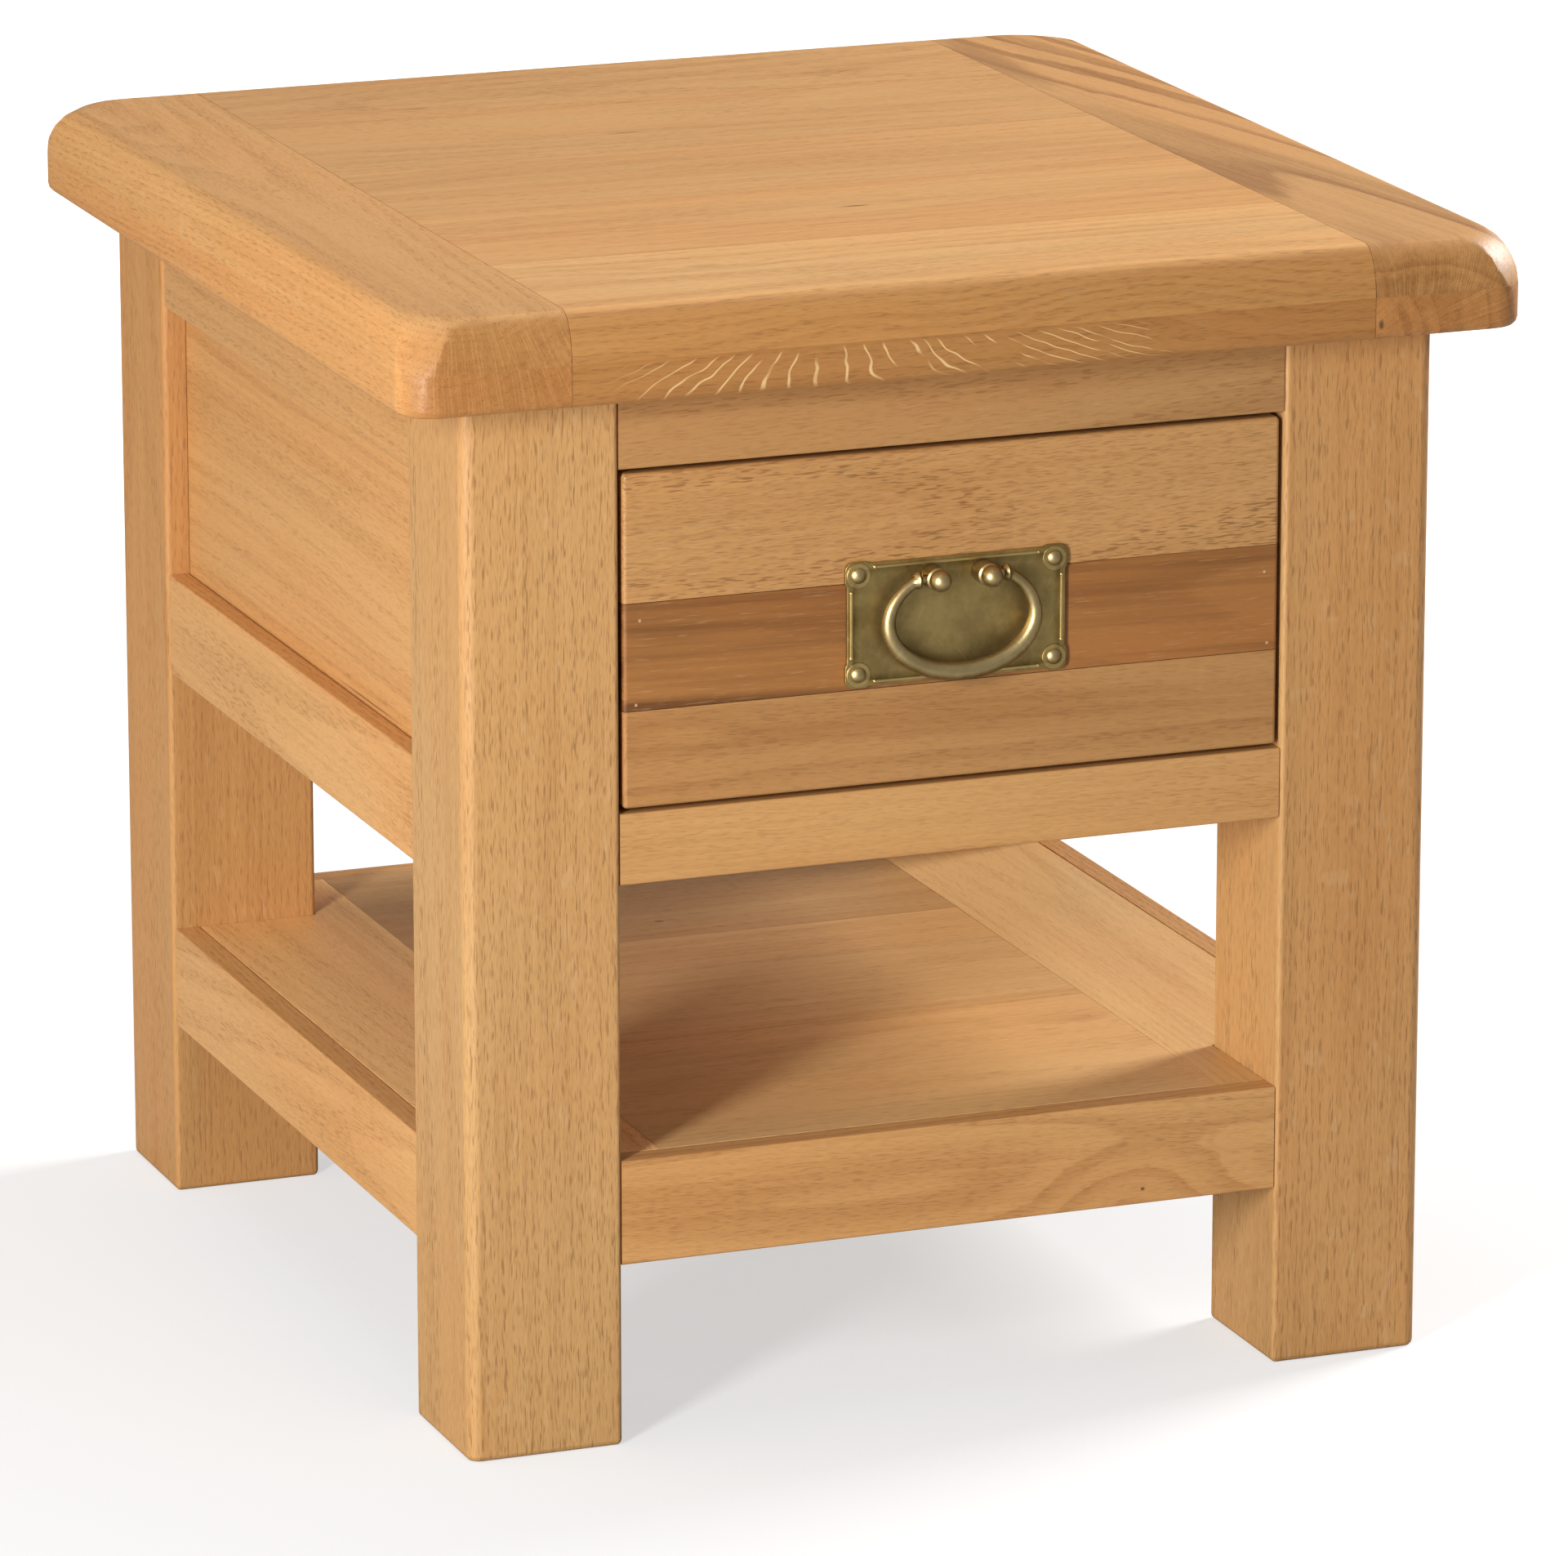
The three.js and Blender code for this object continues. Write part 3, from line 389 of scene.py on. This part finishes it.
def oakMaterial(name, look):
    grain = look["grain"]
    material = bpy.data.materials.new(name)
    material.use_nodes = True
    tree = material.node_tree
    shader = tree.nodes["Principled BSDF"]
    coordinates = addNode(tree, "ShaderNodeTexCoord").outputs
    turn = Euler([math.radians(a + b) for a, b in zip(grainTurns[grain], look["tilt"])])
    heart = -(turn.to_matrix() @ Vector(look["heart"]))
    place = addNode(tree, "ShaderNodeMapping", {
        "Vector": coordinates["Object"], "Rotation": turn, "Location": heart}).outputs[0]
    if "ply" in look:  # the board is glued up from two layers, the lower one from another plank
        below = calc(tree, "LESS_THAN", splitUp(tree, coordinates["Object"])[2], look["ply"]["level"])
        place = vectorCalc(tree, "ADD", place, vectorCalc(tree, "MULTIPLY", below, look["ply"]["shift"]))
    endGrain = vectorCalc(tree, "DOT_PRODUCT", coordinates["Normal"], grainDirections[grain])
    figure = addNode(tree, "ShaderNodeGroup", node_tree=oakFigure)
    tree.links.new(place, figure.inputs["Vector"])
    tree.links.new(ramp(tree, calc(tree, "ABSOLUTE", endGrain), 0.6, 0.98), figure.inputs["End Grain"])
    figure.inputs["Seed"].default_value = look["seed"]
    for socket, usual in figureDefaults.items():
        figure.inputs[socket].default_value = look.get(figureKeys[socket], usual)
    for socket, shade in (("Light", "light"), ("Dark", "dark")):
        tone = look.get(shade, oakTones[shade])
        figure.inputs[socket].default_value = shaded(tone, look["brightness"], look["warmth"])

    color = figure.outputs["Color"]
    if "face" in look:  # painted light and shade: one side of the board is tinted lighter or darker for how the lamps fall on it
        toward = vectorCalc(tree, "DOT_PRODUCT", coordinates["Normal"], look["face"]["direction"])
        color = blendColor(tree, ramp(tree, toward, 0.2, 0.75), color, look["face"]["tint"], mode="MULTIPLY")
    if "ply" in look:
        color = blendColor(tree, below, color, look["ply"]["tint"], mode="MULTIPLY")
    lift = 0.0
    for knot in look["knots"]:
        stretch = knot.get("stretch", [3.3 if axis == grain else 1.0 for axis in "xyz"])
        made = addNode(tree, "ShaderNodeGroup", node_tree=knotGroup)
        made.inputs["Place"].default_value = knot["place"]
        made.inputs["Stretch"].default_value = [1 / s for s in stretch]
        made.inputs["Size"].default_value = knot["size"]
        made.inputs["Lift"].default_value = knot.get("lift", knot["size"] * 0.9)
        tree.links.new(coordinates["Object"], made.inputs["Vector"])
        lift = total(tree, lift, made.outputs["Lift"])
        color = blendColor(tree, product(tree, made.outputs["Heart"], knot["heart"]), color,
                           knot.get("color", knotColor))
    if look["knots"]:
        tree.links.new(lift, figure.inputs["Knot"])
    if "flecks" in look:
        made = addNode(tree, "ShaderNodeGroup", node_tree=fleckGroup)
        tree.links.new(coordinates["Object"], made.inputs["Vector"])
        for socket, value in look["flecks"].items():
            made.inputs[socket].default_value = value
        color = blendColor(tree, made.outputs["Mask"], color, fleckColor)
    bump = addNode(tree, "ShaderNodeBump", {
        "Height": figure.outputs["Height"], "Strength": oakSurface["bump"],
        "Distance": oakSurface["bumpDepth"]})
    tree.links.new(color, shader.inputs["Base Color"])
    tree.links.new(figure.outputs["Roughness"], shader.inputs["Roughness"])
    tree.links.new(bump.outputs["Normal"], shader.inputs["Normal"])
    shader.inputs["Specular IOR Level"].default_value = oakSurface["shine"]
    return material


# The top's two layers: the height of the glue line, the lower layer's shift in the tree and its tint
ply = {
    "level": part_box("top_board_1")[1].z - 21.5 * mm, "shift": (0.031, 0.043, 0.19),
    "tint": (0.96, 0.9, 0.84, 1),
}


# How each board was sawn. Its heart is a point on the middle of the tree, away from the board's own
# middle by depth through its thickness and by aside across its width, in metres. Knots are placed by
# their share of the way across the board's box, and flecks by their shares of its length.
def boardLook(node, grain, seed, **changes):
    chance = random.Random(seed)
    low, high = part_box(node)
    size = high - low
    across = [axis for axis in range(3) if "xyz"[axis] != grain]
    thin, wide = sorted(across, key=lambda axis: size[axis])
    away = Vector((0, 0, 0))
    away[thin] = changes.pop("depth", chance.uniform(0.05, 0.12) * chance.choice((-1, 1)))
    away[wide] = changes.pop("aside", chance.uniform(-0.02, 0.02))
    lean, drift = chance.uniform(-2.2, 2.2), chance.uniform(-1, 1)
    look = {"grain": grain, "seed": seed * 7.31, "heart": (low + high) / 2 + away,
            "tilt": {"x": (0, lean, 0), "y": (lean, drift, 0), "z": (lean, drift, 0)}[grain],
            "brightness": chance.uniform(0.96, 1.04), "warmth": chance.uniform(0.985, 1.015), "knots": ()}
    look.update(changes)
    look["knots"] = [
        dict(knot, place=[low[axis] + size[axis] * knot["at"][axis] for axis in range(3)])
        for knot in look["knots"]]
    if "flecks" in look:
        look["flecks"] = {socket: low.x + size.x * share for socket, share in look["flecks"].items()}
        look["flecks"]["Top"] = ply["level"] - 0.5 * mm
    return look


# Painted light and shade: a tint for the side of a board that faces direction
def paintedSideTint(direction, tint):
    return {"direction": direction, "tint": (*tint, 1)}


boardChanges = {
    "leg_front_left": {
        "depth": 0.16, "figure": 0.1, "pores": 0.65, "streaks": 0.6, "brightness": 0.88, "warmth": 0.94,
        "knots": [
            {"at": (0, 0.7899, 0.3655), "size": 1.6 * mm, "stretch": (3, 1, 4.5), "heart": 0.75},
            {"at": (0, 0.8116, 0.335), "size": 1.5 * mm, "stretch": (3, 1, 4), "heart": 0.7}]},
    "leg_front_right": {"depth": 0.14, "figure": 0.14, "pores": 0.6, "brightness": 0.88,
                        "face": paintedSideTint((-1, 0, 0), (1.06, 1.14, 1.22))},
    "leg_back_left": {"depth": 0.15, "figure": 0.12, "pores": 0.5, "brightness": 0.82, "warmth": 1.02,
                      "face": paintedSideTint((-1, 0, 0), (1.12, 1.08, 1.02))},
    "leg_back_right": {"depth": 0.15, "figure": 0.1, "pores": 0.4, "brightness": 1.0},
    "top_board_1": {
        "depth": 0.09, "figure": 0.24, "streaks": 0.9, "rings": 5.5 * mm, "pores": 0.35, "brightness": 1.22,
        "warmth": 0.95, "ply": dict(ply, tint=(0.86, 0.8, 0.74, 1)),
        "face": paintedSideTint((0, -1, 0), (0.63, 0.56, 0.46)),
        "flecks": {"Left": 0.0538, "Middle": 0.3425, "Right": 0.7625}, "knots": [
            {"at": (0.2459, 0.6757, 1), "size": 7 * mm, "heart": 0.25},
            {"at": (0.6837, 0.0389, 0.65), "size": 14 * mm, "heart": 0.0, "lift": 16 * mm},
            {"at": (0.3425, 0.0389, 0.675), "size": 10 * mm, "heart": 0.0, "lift": 9 * mm}]},
    "top_board_2": {"depth": 0.2, "figure": 0.12, "pores": 0.3, "ply": ply, "brightness": 1.12, "knots": [
        {"at": (0.5194, 0.5652, 1), "size": 2.6 * mm, "stretch": (7, 1, 1), "heart": 0.9},
        {"at": (0.5787, 0.5876, 1), "size": 3 * mm, "stretch": (9, 1, 1), "heart": 0.25}]},
    "top_board_3": {"depth": 0.17, "figure": 0.13, "pores": 0.35, "ply": ply, "brightness": 1.04},
    "top_board_4": {"depth": 0.19, "figure": 0.12, "pores": 0.35, "ply": ply, "brightness": 1.0, "knots": [
        {"at": (0.4213, 0.3734, 1), "size": 2.4 * mm, "stretch": (8, 1, 1), "heart": 0.6}]},
    "top_board_5": {"depth": 0.15, "figure": 0.15, "ply": ply, "brightness": 0.98, "knots": [
        {"at": (0.2375, 0.1979, 1), "size": 2.2 * mm, "stretch": (8, 1, 1), "heart": 0.6}]},
    "top_end_board_left": {
        "depth": 0.12, "figure": 0.16, "streaks": 0.9, "pores": 0.4, "brightness": 1.06, "ply": ply,
        "face": paintedSideTint((0, -1, 0), (0.72, 0.67, 0.6))},
    "top_end_board_right": {
        "depth": -0.07, "aside": -0.06, "tilt": (0, 8, 0), "figure": 0.75, "rings": 15 * mm, "streaks": 0.9,
        "pores": 0.35, "dark": (0.36, 0.16, 0.045, 1), "ply": ply,
        "face": paintedSideTint((0, -1, 0), (0.9, 0.86, 0.8)),
        "knots": [
            {"at": (0.0814, 0.8689, 1), "size": 30 * mm, "stretch": (1, 6, 1), "heart": 0.7, "lift": 12 * mm,
             "color": (0.36, 0.165, 0.05, 1)},
            {"at": (0.0327, 0.267, 1), "size": 13 * mm, "stretch": (1, 8, 1), "heart": 0.45, "lift": 6 * mm,
             "color": (0.38, 0.18, 0.055, 1)},
            {"at": (0.0327, 0, 0.1675), "size": 4 * mm, "stretch": (0.8, 1, 1.4), "heart": 0.85}]},
    # top_rail_front's low brightness is partly its own tone and partly painted shade under the top's overhang
    "top_rail_front": {"figure": 0.2, "brightness": 0.7, "pores": 0.6},
    "drawer_rail_front": {"figure": 0.18, "brightness": 0.93, "pores": 0.35},
    "shelf_rail_front": {
        "depth": 0.05, "figure": 0.4, "rings": 4.5 * mm, "brightness": 0.93, "pores": 0.4, "knots": [
            {"at": (0.7453, 0, 0.1478), "size": 2.2 * mm, "stretch": (1.2, 1, 1), "heart": 0.9, "lift": 0.0},
            {"at": (0.7376, 0, 0.1957), "size": 15 * mm, "stretch": (2.2, 1, 1), "heart": 0.0,
             "lift": 9 * mm}]},
    # shelf_rail_left is brightened partly as painted light where the key lamp falls on the shelf's left end
    "shelf_rail_left": {"figure": 0.2, "brightness": 1.12, "pores": 0.35},
    "side_panel_left": {
        "figure": 0.2, "rings": 6 * mm, "pores": 0.3, "streaks": 0.9, "depth": 0.08, "knots": [
            {"at": (0, 0.2669, 0.0638), "size": 1.3 * mm, "stretch": (2, 80, 1), "heart": 0.7, "lift": 0.0}]},
    "side_top_rail_left": {"figure": 0.15, "pores": 0.4, "brightness": 0.93},
    "side_low_rail_left": {"figure": 0.22, "pores": 0.4, "rings": 4.5 * mm, "brightness": 1.08},
    "shelf_board_1": {
        "depth": 0.2, "figure": 0.12, "pores": 0.3, "brightness": 1.1, "warmth": 0.87, "knots": [
            {"at": (0.9344, 0.7744, 1), "size": 1.4 * mm, "stretch": (1, 1, 1), "heart": 0.9, "lift": 0.0},
            {"at": (0.9148, 0.7597, 1), "size": 13 * mm, "stretch": (2.2, 1, 1), "heart": 0.45,
             "lift": 10 * mm, "color": (0.5, 0.25, 0.1, 1)}]},
    "shelf_board_2": {"depth": 0.18, "figure": 0.12, "pores": 0.3, "brightness": 1.05, "warmth": 0.87},
    # shelf_board_3 is darkened as painted shade at the back of the shelf
    "shelf_board_3": {
        "depth": 0.16, "figure": 0.12, "pores": 0.3, "brightness": 0.86, "warmth": 0.9, "knots": [
            {"at": (0.4715, 0.1777, 1), "size": 3 * mm, "stretch": (2, 1, 1), "heart": 0.85}]},
    # shelf_end_board_left is brightened partly as painted light where the key lamp falls on the shelf's left
    # end
    "shelf_end_board_left": {"figure": 0.15, "brightness": 1.45, "warmth": 0.86, "pores": 0.3},
    "shelf_end_board_right": {
        "figure": 0.15, "brightness": 1.15, "warmth": 0.85, "pores": 0.2, "streaks": 0.6},
    "drawer_front_high": {"depth": 0.2, "figure": 0.12, "pores": 0.85, "streaks": 0.6, "brightness": 0.82},
    "drawer_front_middle": {
        "depth": 0.15, "figure": 0.25, "pores": 0.35, "streaks": 3.2, "brightness": 0.9, "knots": [
            {"at": (x, 0, z), "size": 1.7 * mm, "stretch": (1, 1, 1), "heart": 0.8, "lift": 0.0,
             "color": (0.72, 0.46, 0.26, 1)}  # filled pin holes
            for x, z in ((0.0245, 0.8401), (0.0185, 0.0543), (0.9779, 0.7489), (0.9832, 0.0673))]},
    "drawer_front_low": {
        "depth": 0.045, "figure": 0.45, "rings": 4 * mm, "pores": 0.5, "brightness": 0.71, "warmth": 1.06},
}
slotChanges = {
    "oak": {},
    "oak_dark": {"light": (0.42, 0.175, 0.046, 1), "dark": (0.17, 0.062, 0.015, 1)},
    "inner_wood": {
        "light": (0.72, 0.5, 0.27, 1), "dark": (0.56, 0.34, 0.15, 1), "figure": 0.25, "pores": 0.2},
}
grainByPanel = {"side_panel_left": "y", "side_panel_right": "y", "back_panel": "x"}
boardMaterials = {}
for seed, node in enumerate(name for name in nodeBody if nodeSlot[name] in slotChanges):
    low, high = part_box(node)
    size = high - low
    grain = grainByPanel.get(node, "xyz"[max(range(3), key=lambda axis: size[axis])])
    changes = {**boardChanges.get(node, {}), **slotChanges[nodeSlot[node]]}
    boardMaterials[node] = oakMaterial(node + "_oak", boardLook(node, grain, seed + 1, **changes))
    held = frame["nodes"][node]
    held.data.materials.clear()
    held.data.materials.append(boardMaterials[node])
print("board materials", len(boardMaterials))

# Boards with eased edges. ease is the width of the easing and shortest the shortest edge it takes.
finishedBoards = {
    "leg": {"nodes": [n for n in boardMaterials if n.startswith("leg_")], "ease": 0},
    "top": {"nodes": [n for n in boardMaterials if n.startswith(("top_board", "top_end"))], "ease": 0},
    "rail": {"nodes": [n for n in boardMaterials if "rail" in n], "ease": 1.0 * mm, "shortest": 90 * mm},
}
for kind, group in finishedBoards.items():
    for node in group["nodes"]:
        piece = workingCopy(node)
        if group["ease"]:
            easeEdges(piece, group["ease"], shortest=group["shortest"])
        finishShading(piece)
        piece.data.materials.append(boardMaterials[node])
        standFor(piece, node)
    print("finished", kind, len(group["nodes"]))

# Drawer front: three boards whose outline is rounded as one
drawerFront = {"ease": 1.9 * mm, "segments": 5}
frontNodes = ["drawer_front_low", "drawer_front_middle", "drawer_front_high"]
frontLow = Vector([min(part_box(n)[0][axis] for n in frontNodes) for axis in range(3)])
frontHigh = Vector([max(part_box(n)[1][axis] for n in frontNodes) for axis in range(3)])
touching = 0.1 * mm


def onOutline(middle, direction):
    atSide = min(abs(middle.x - frontLow.x), abs(middle.x - frontHigh.x)) < touching
    atEnd = min(abs(middle.z - frontLow.z), abs(middle.z - frontHigh.z)) < touching
    if abs(direction.y) > 0.9:
        return atSide and atEnd
    return abs(middle.y - frontLow.y) < touching and (atSide or atEnd)


for node in frontNodes:
    piece = workingCopy(node)
    easeEdges(piece, drawerFront["ease"], segments=drawerFront["segments"], test=onOutline)
    finishShading(piece)
    piece.data.materials.append(boardMaterials[node])
    standFor(piece, node)
print("drawer front")

# Handle. rim is the width of the plate's outer rim and field how far its flat part lies behind its
# foremost point. Beads sit in pairs, beadEnd along one edge of the flat part and beadMiddle in.
handle = {
    "rim": 0.8 * mm, "field": 0.8 * mm, "edgeEase": 0.35 * mm, "easeDepth": 1.2 * mm, "holeClear": 3.4 * mm,
    "nubRadius": 0.95 * mm, "nubDepth": 0.75 * mm, "beadEnd": 12.4 * mm, "beadMiddle": 1.75 * mm,
    "padRadius": 5.4 * mm, "padHeight": 0.5 * mm, "padEase": 0.3 * mm,
}
plateLow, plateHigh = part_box("handle_plate")
plateMiddle = (plateLow + plateHigh) / 2
fieldY = plateLow.y + handle["field"]
fieldHalf = plateHigh - plateMiddle - Vector((handle["rim"], 0, handle["rim"]))


# Beads and the outer rim are rubbed bright, and the band just inside the beads is darkened as painted shade
# of a groove
def plateWearAndShade(tree, wearAndPaintedLight, place):
    x, y, z = splitUp(tree, place)
    fromEdge = [
        calc(tree, "SUBTRACT", half, calc(tree, "ABSOLUTE", calc(tree, "SUBTRACT", value, middle)))
        for value, middle, half in ((x, plateMiddle.x, fieldHalf.x), (z, plateMiddle.z, fieldHalf.z))]
    inside = calc(tree, "MINIMUM", *fromEdge)
    # painted shade in the band just inside the beads
    grooveShade = product(tree, ramp(tree, inside, 2.2 * mm, 2.5 * mm), ramp(tree, inside, 2.9 * mm, 6 * mm, 1, 0))
    proud = ramp(tree, y, fieldY - 0.25 * mm, fieldY - 0.65 * mm)
    return total(tree, wearAndPaintedLight, product(tree, proud, 0.5), product(tree, grooveShade, -0.28))


brassWearAndSheen = {"toward": (-0.35, -0.8, 0.45), "bump": 0.3, "bumpDepth": 0.1 * mm}
metals = {
    "knob_brass": {"rubAndSheen": 0.75, "bright": (0.68, 0.52, 0.25, 1), "dark": (0.17, 0.11, 0.032, 1), "even": 0.0},
    "zinc_steel": {"rubAndSheen": 0.1, "bright": (0.75, 0.76, 0.78, 1), "dark": (0.42, 0.43, 0.45, 1), "even": 0.3},
    "plate_brass": {"rubAndSheen": 0.0, "bright": (0.74, 0.54, 0.21, 1), "dark": (0.17, 0.11, 0.032, 1), "even": 0.3},
}


def metalMaterial(name, wear=None):
    metal = metals[name]
    material = bpy.data.materials.new(name)
    material.use_nodes = True
    tree = material.node_tree
    shader = tree.nodes["Principled BSDF"]
    coordinates = addNode(tree, "ShaderNodeTexCoord").outputs
    # Painted highlight and wear: the side facing up, left and front is brightened toward the lamps, on top of
    # the rubbing there
    facing = vectorCalc(tree, "DOT_PRODUCT", coordinates["Normal"], brassWearAndSheen["toward"])
    wearAndPaintedLight = total(tree, product(tree, ramp(tree, facing, 0.35, 0.98), metal["rubAndSheen"]), metal["even"])
    if wear:
        wearAndPaintedLight = wear(tree, wearAndPaintedLight, coordinates["Object"])
    group = addNode(tree, "ShaderNodeGroup", node_tree=brassGroup)
    group.inputs["Bright"].default_value = metal["bright"]
    group.inputs["Dark"].default_value = metal["dark"]
    tree.links.new(coordinates["Object"], group.inputs["Vector"])
    tree.links.new(wearAndPaintedLight, group.inputs["Wear And Painted Light"])
    bump = addNode(tree, "ShaderNodeBump", {
        "Height": group.outputs["Height"], "Strength": brassWearAndSheen["bump"], "Distance": brassWearAndSheen["bumpDepth"]})
    tree.links.new(group.outputs["Color"], shader.inputs["Base Color"])
    tree.links.new(group.outputs["Roughness"], shader.inputs["Roughness"])
    tree.links.new(bump.outputs["Normal"], shader.inputs["Normal"])
    shader.inputs["Metallic"].default_value = 1.0
    return material


knobBrass = metalMaterial("knob_brass")
screwSteel = metalMaterial("zinc_steel")
plateBrass = metalMaterial("plate_brass", plateWearAndShade)
bossNodes = [n for n in nodeBody if n.startswith(("handle_post", "handle_pin"))]
bossPlaces = [(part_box(n)[0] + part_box(n)[1]) / 2 for n in bossNodes]


def onPlateFront(middle, direction):
    if middle.y > plateHigh.y - handle["easeDepth"]:
        return False
    return all(math.hypot(middle.x - boss.x, middle.z - boss.z) > handle["holeClear"] for boss in bossPlaces)


plate = workingCopy("handle_plate")
easeEdges(plate, handle["edgeEase"], test=onPlateFront)
nubs = []
beads = ((handle["beadEnd"], handle["beadMiddle"]), (handle["beadMiddle"], handle["beadEnd"]))
for sideX in (-1, 1):
    for sideZ in (-1, 1):
        for inX, inZ in beads:
            place = (plateMiddle.x + sideX * (fieldHalf.x - inX), plateLow.y + handle["nubDepth"],
                     plateMiddle.z + sideZ * (fieldHalf.z - inZ))
            bpy.ops.mesh.primitive_uv_sphere_add(
                segments=16, ring_count=10, radius=handle["nubRadius"], location=place)
            nubs.append(bpy.context.view_layer.objects.active)
for node in [n for n in nodeBody if n.startswith("handle_pin")]:
    place = (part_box(node)[0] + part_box(node)[1]) / 2
    bpy.ops.mesh.primitive_cylinder_add(
        vertices=48, radius=handle["padRadius"], depth=2 * handle["padHeight"],
        location=(place.x, fieldY, place.z), rotation=(math.pi / 2, 0, 0))
    pad = bpy.context.view_layer.objects.active
    bpy.ops.object.transform_apply(location=True, rotation=True, scale=True)
    easeEdges(pad, handle["padEase"], degrees=60, test=lambda middle, direction: middle.y < fieldY)
    nubs.append(pad)
bpy.ops.object.select_all(action="DESELECT")
for piece in nubs + [plate]:
    piece.select_set(True)
bpy.context.view_layer.objects.active = plate
bpy.ops.object.join()
finishShading(plate, 40)
plate.data.materials.append(plateBrass)
standFor(plate, "handle_plate")

for node in [n for n in nodeBody if n.startswith(("handle_post", "handle_pin", "handle_bail", "handle_nut"))]:
    piece = workingCopy(node)
    finishShading(piece, 20 if "nut" in node else 40)
    piece.data.materials.append(knobBrass if nodeSlot[node] == "brass" else screwSteel)
    standFor(piece, node)
for node in [n for n in nodeBody if n.startswith("top_screw")]:
    held = frame["nodes"][node]
    held.data.materials.clear()
    held.data.materials.append(screwSteel)
print("handle")

# Studio. The floor glows more with the distance from the table, for the camera only.
studio = {
    "floorSize": 30, "floorTone": (0.4, 0.4, 0.4, 1), "floorGlow": (0.58, 1.1), "glowReach": (0.5, 1.8),
    "worldStrength": 0.28, "aim": (0, 0, 0.3),
}
lights = {
    "key": {"place": (-1.78, -1.61, 0.75), "size": (0.32, 1.2), "power": 59},
    "overhead": {"place": (-0.2, 0.2, 2.4), "size": (1.8, 1.8), "power": 13},
    "side": {"place": (-2.6, 0.9, 1.2), "size": (1.5, 1.5), "power": 4},
    "window": {"place": (2.1, 0.5, 1.35), "size": (0.7, 0.7), "power": 62, "aim": (0.1, 0, 0.15)},
}
bpy.ops.mesh.primitive_plane_add(size=studio["floorSize"], location=(0, 0, 0))
floor = bpy.context.view_layer.objects.active
floor.name = "floor"
paper = bpy.data.materials.new("floor_paper")
paper.use_nodes = True
paperTree = paper.node_tree
paperShader = paperTree.nodes["Principled BSDF"]
paperShader.inputs["Base Color"].default_value = studio["floorTone"]
paperShader.inputs["Roughness"].default_value = 0.9
paperShader.inputs["Specular IOR Level"].default_value = 0.1
paperShader.inputs["Emission Color"].default_value = (1, 1, 1, 1)
floorPlace = addNode(paperTree, "ShaderNodeTexCoord").outputs["Object"]
fromMiddle = vectorCalc(paperTree, "LENGTH", floorPlace)
glow = ramp(paperTree, fromMiddle, *studio["glowReach"], *studio["floorGlow"])
seen = addNode(paperTree, "ShaderNodeLightPath").outputs["Is Camera Ray"]
paperTree.links.new(product(paperTree, glow, seen), paperShader.inputs["Emission Strength"])
floor.data.materials.append(paper)


def softLight(name, place, size, power, aim=studio["aim"]):
    bpy.ops.object.light_add(type="AREA", location=place)
    light = bpy.context.view_layer.objects.active
    light.name = name
    light.rotation_euler = (Vector(aim) - Vector(place)).to_track_quat("-Z", "Y").to_euler()
    light.data.shape = "RECTANGLE"
    light.data.size, light.data.size_y = size
    light.data.energy = power


for name, settings in lights.items():
    softLight(name, **settings)
world = bpy.data.worlds.new("studio")
world.use_nodes = True
world.node_tree.nodes["Background"].inputs["Color"].default_value = (1, 1, 1, 1)
world.node_tree.nodes["Background"].inputs["Strength"].default_value = studio["worldStrength"]
bpy.context.scene.world = world
bpy.context.scene.view_settings.view_transform = "Standard"
print("studio")

view = {"place": (-1.4845, -3.8803, 1.3455), "yaw": 0.3680, "pitch": -0.2643, "lens": 221.1}
bpy.ops.object.camera_add(location=view["place"], rotation=(math.pi / 2 + view["pitch"], 0, -view["yaw"]))
camera = bpy.context.view_layer.objects.active
camera.data.lens = view["lens"]
camera.data.sensor_width = 36
bpy.context.scene.camera = camera
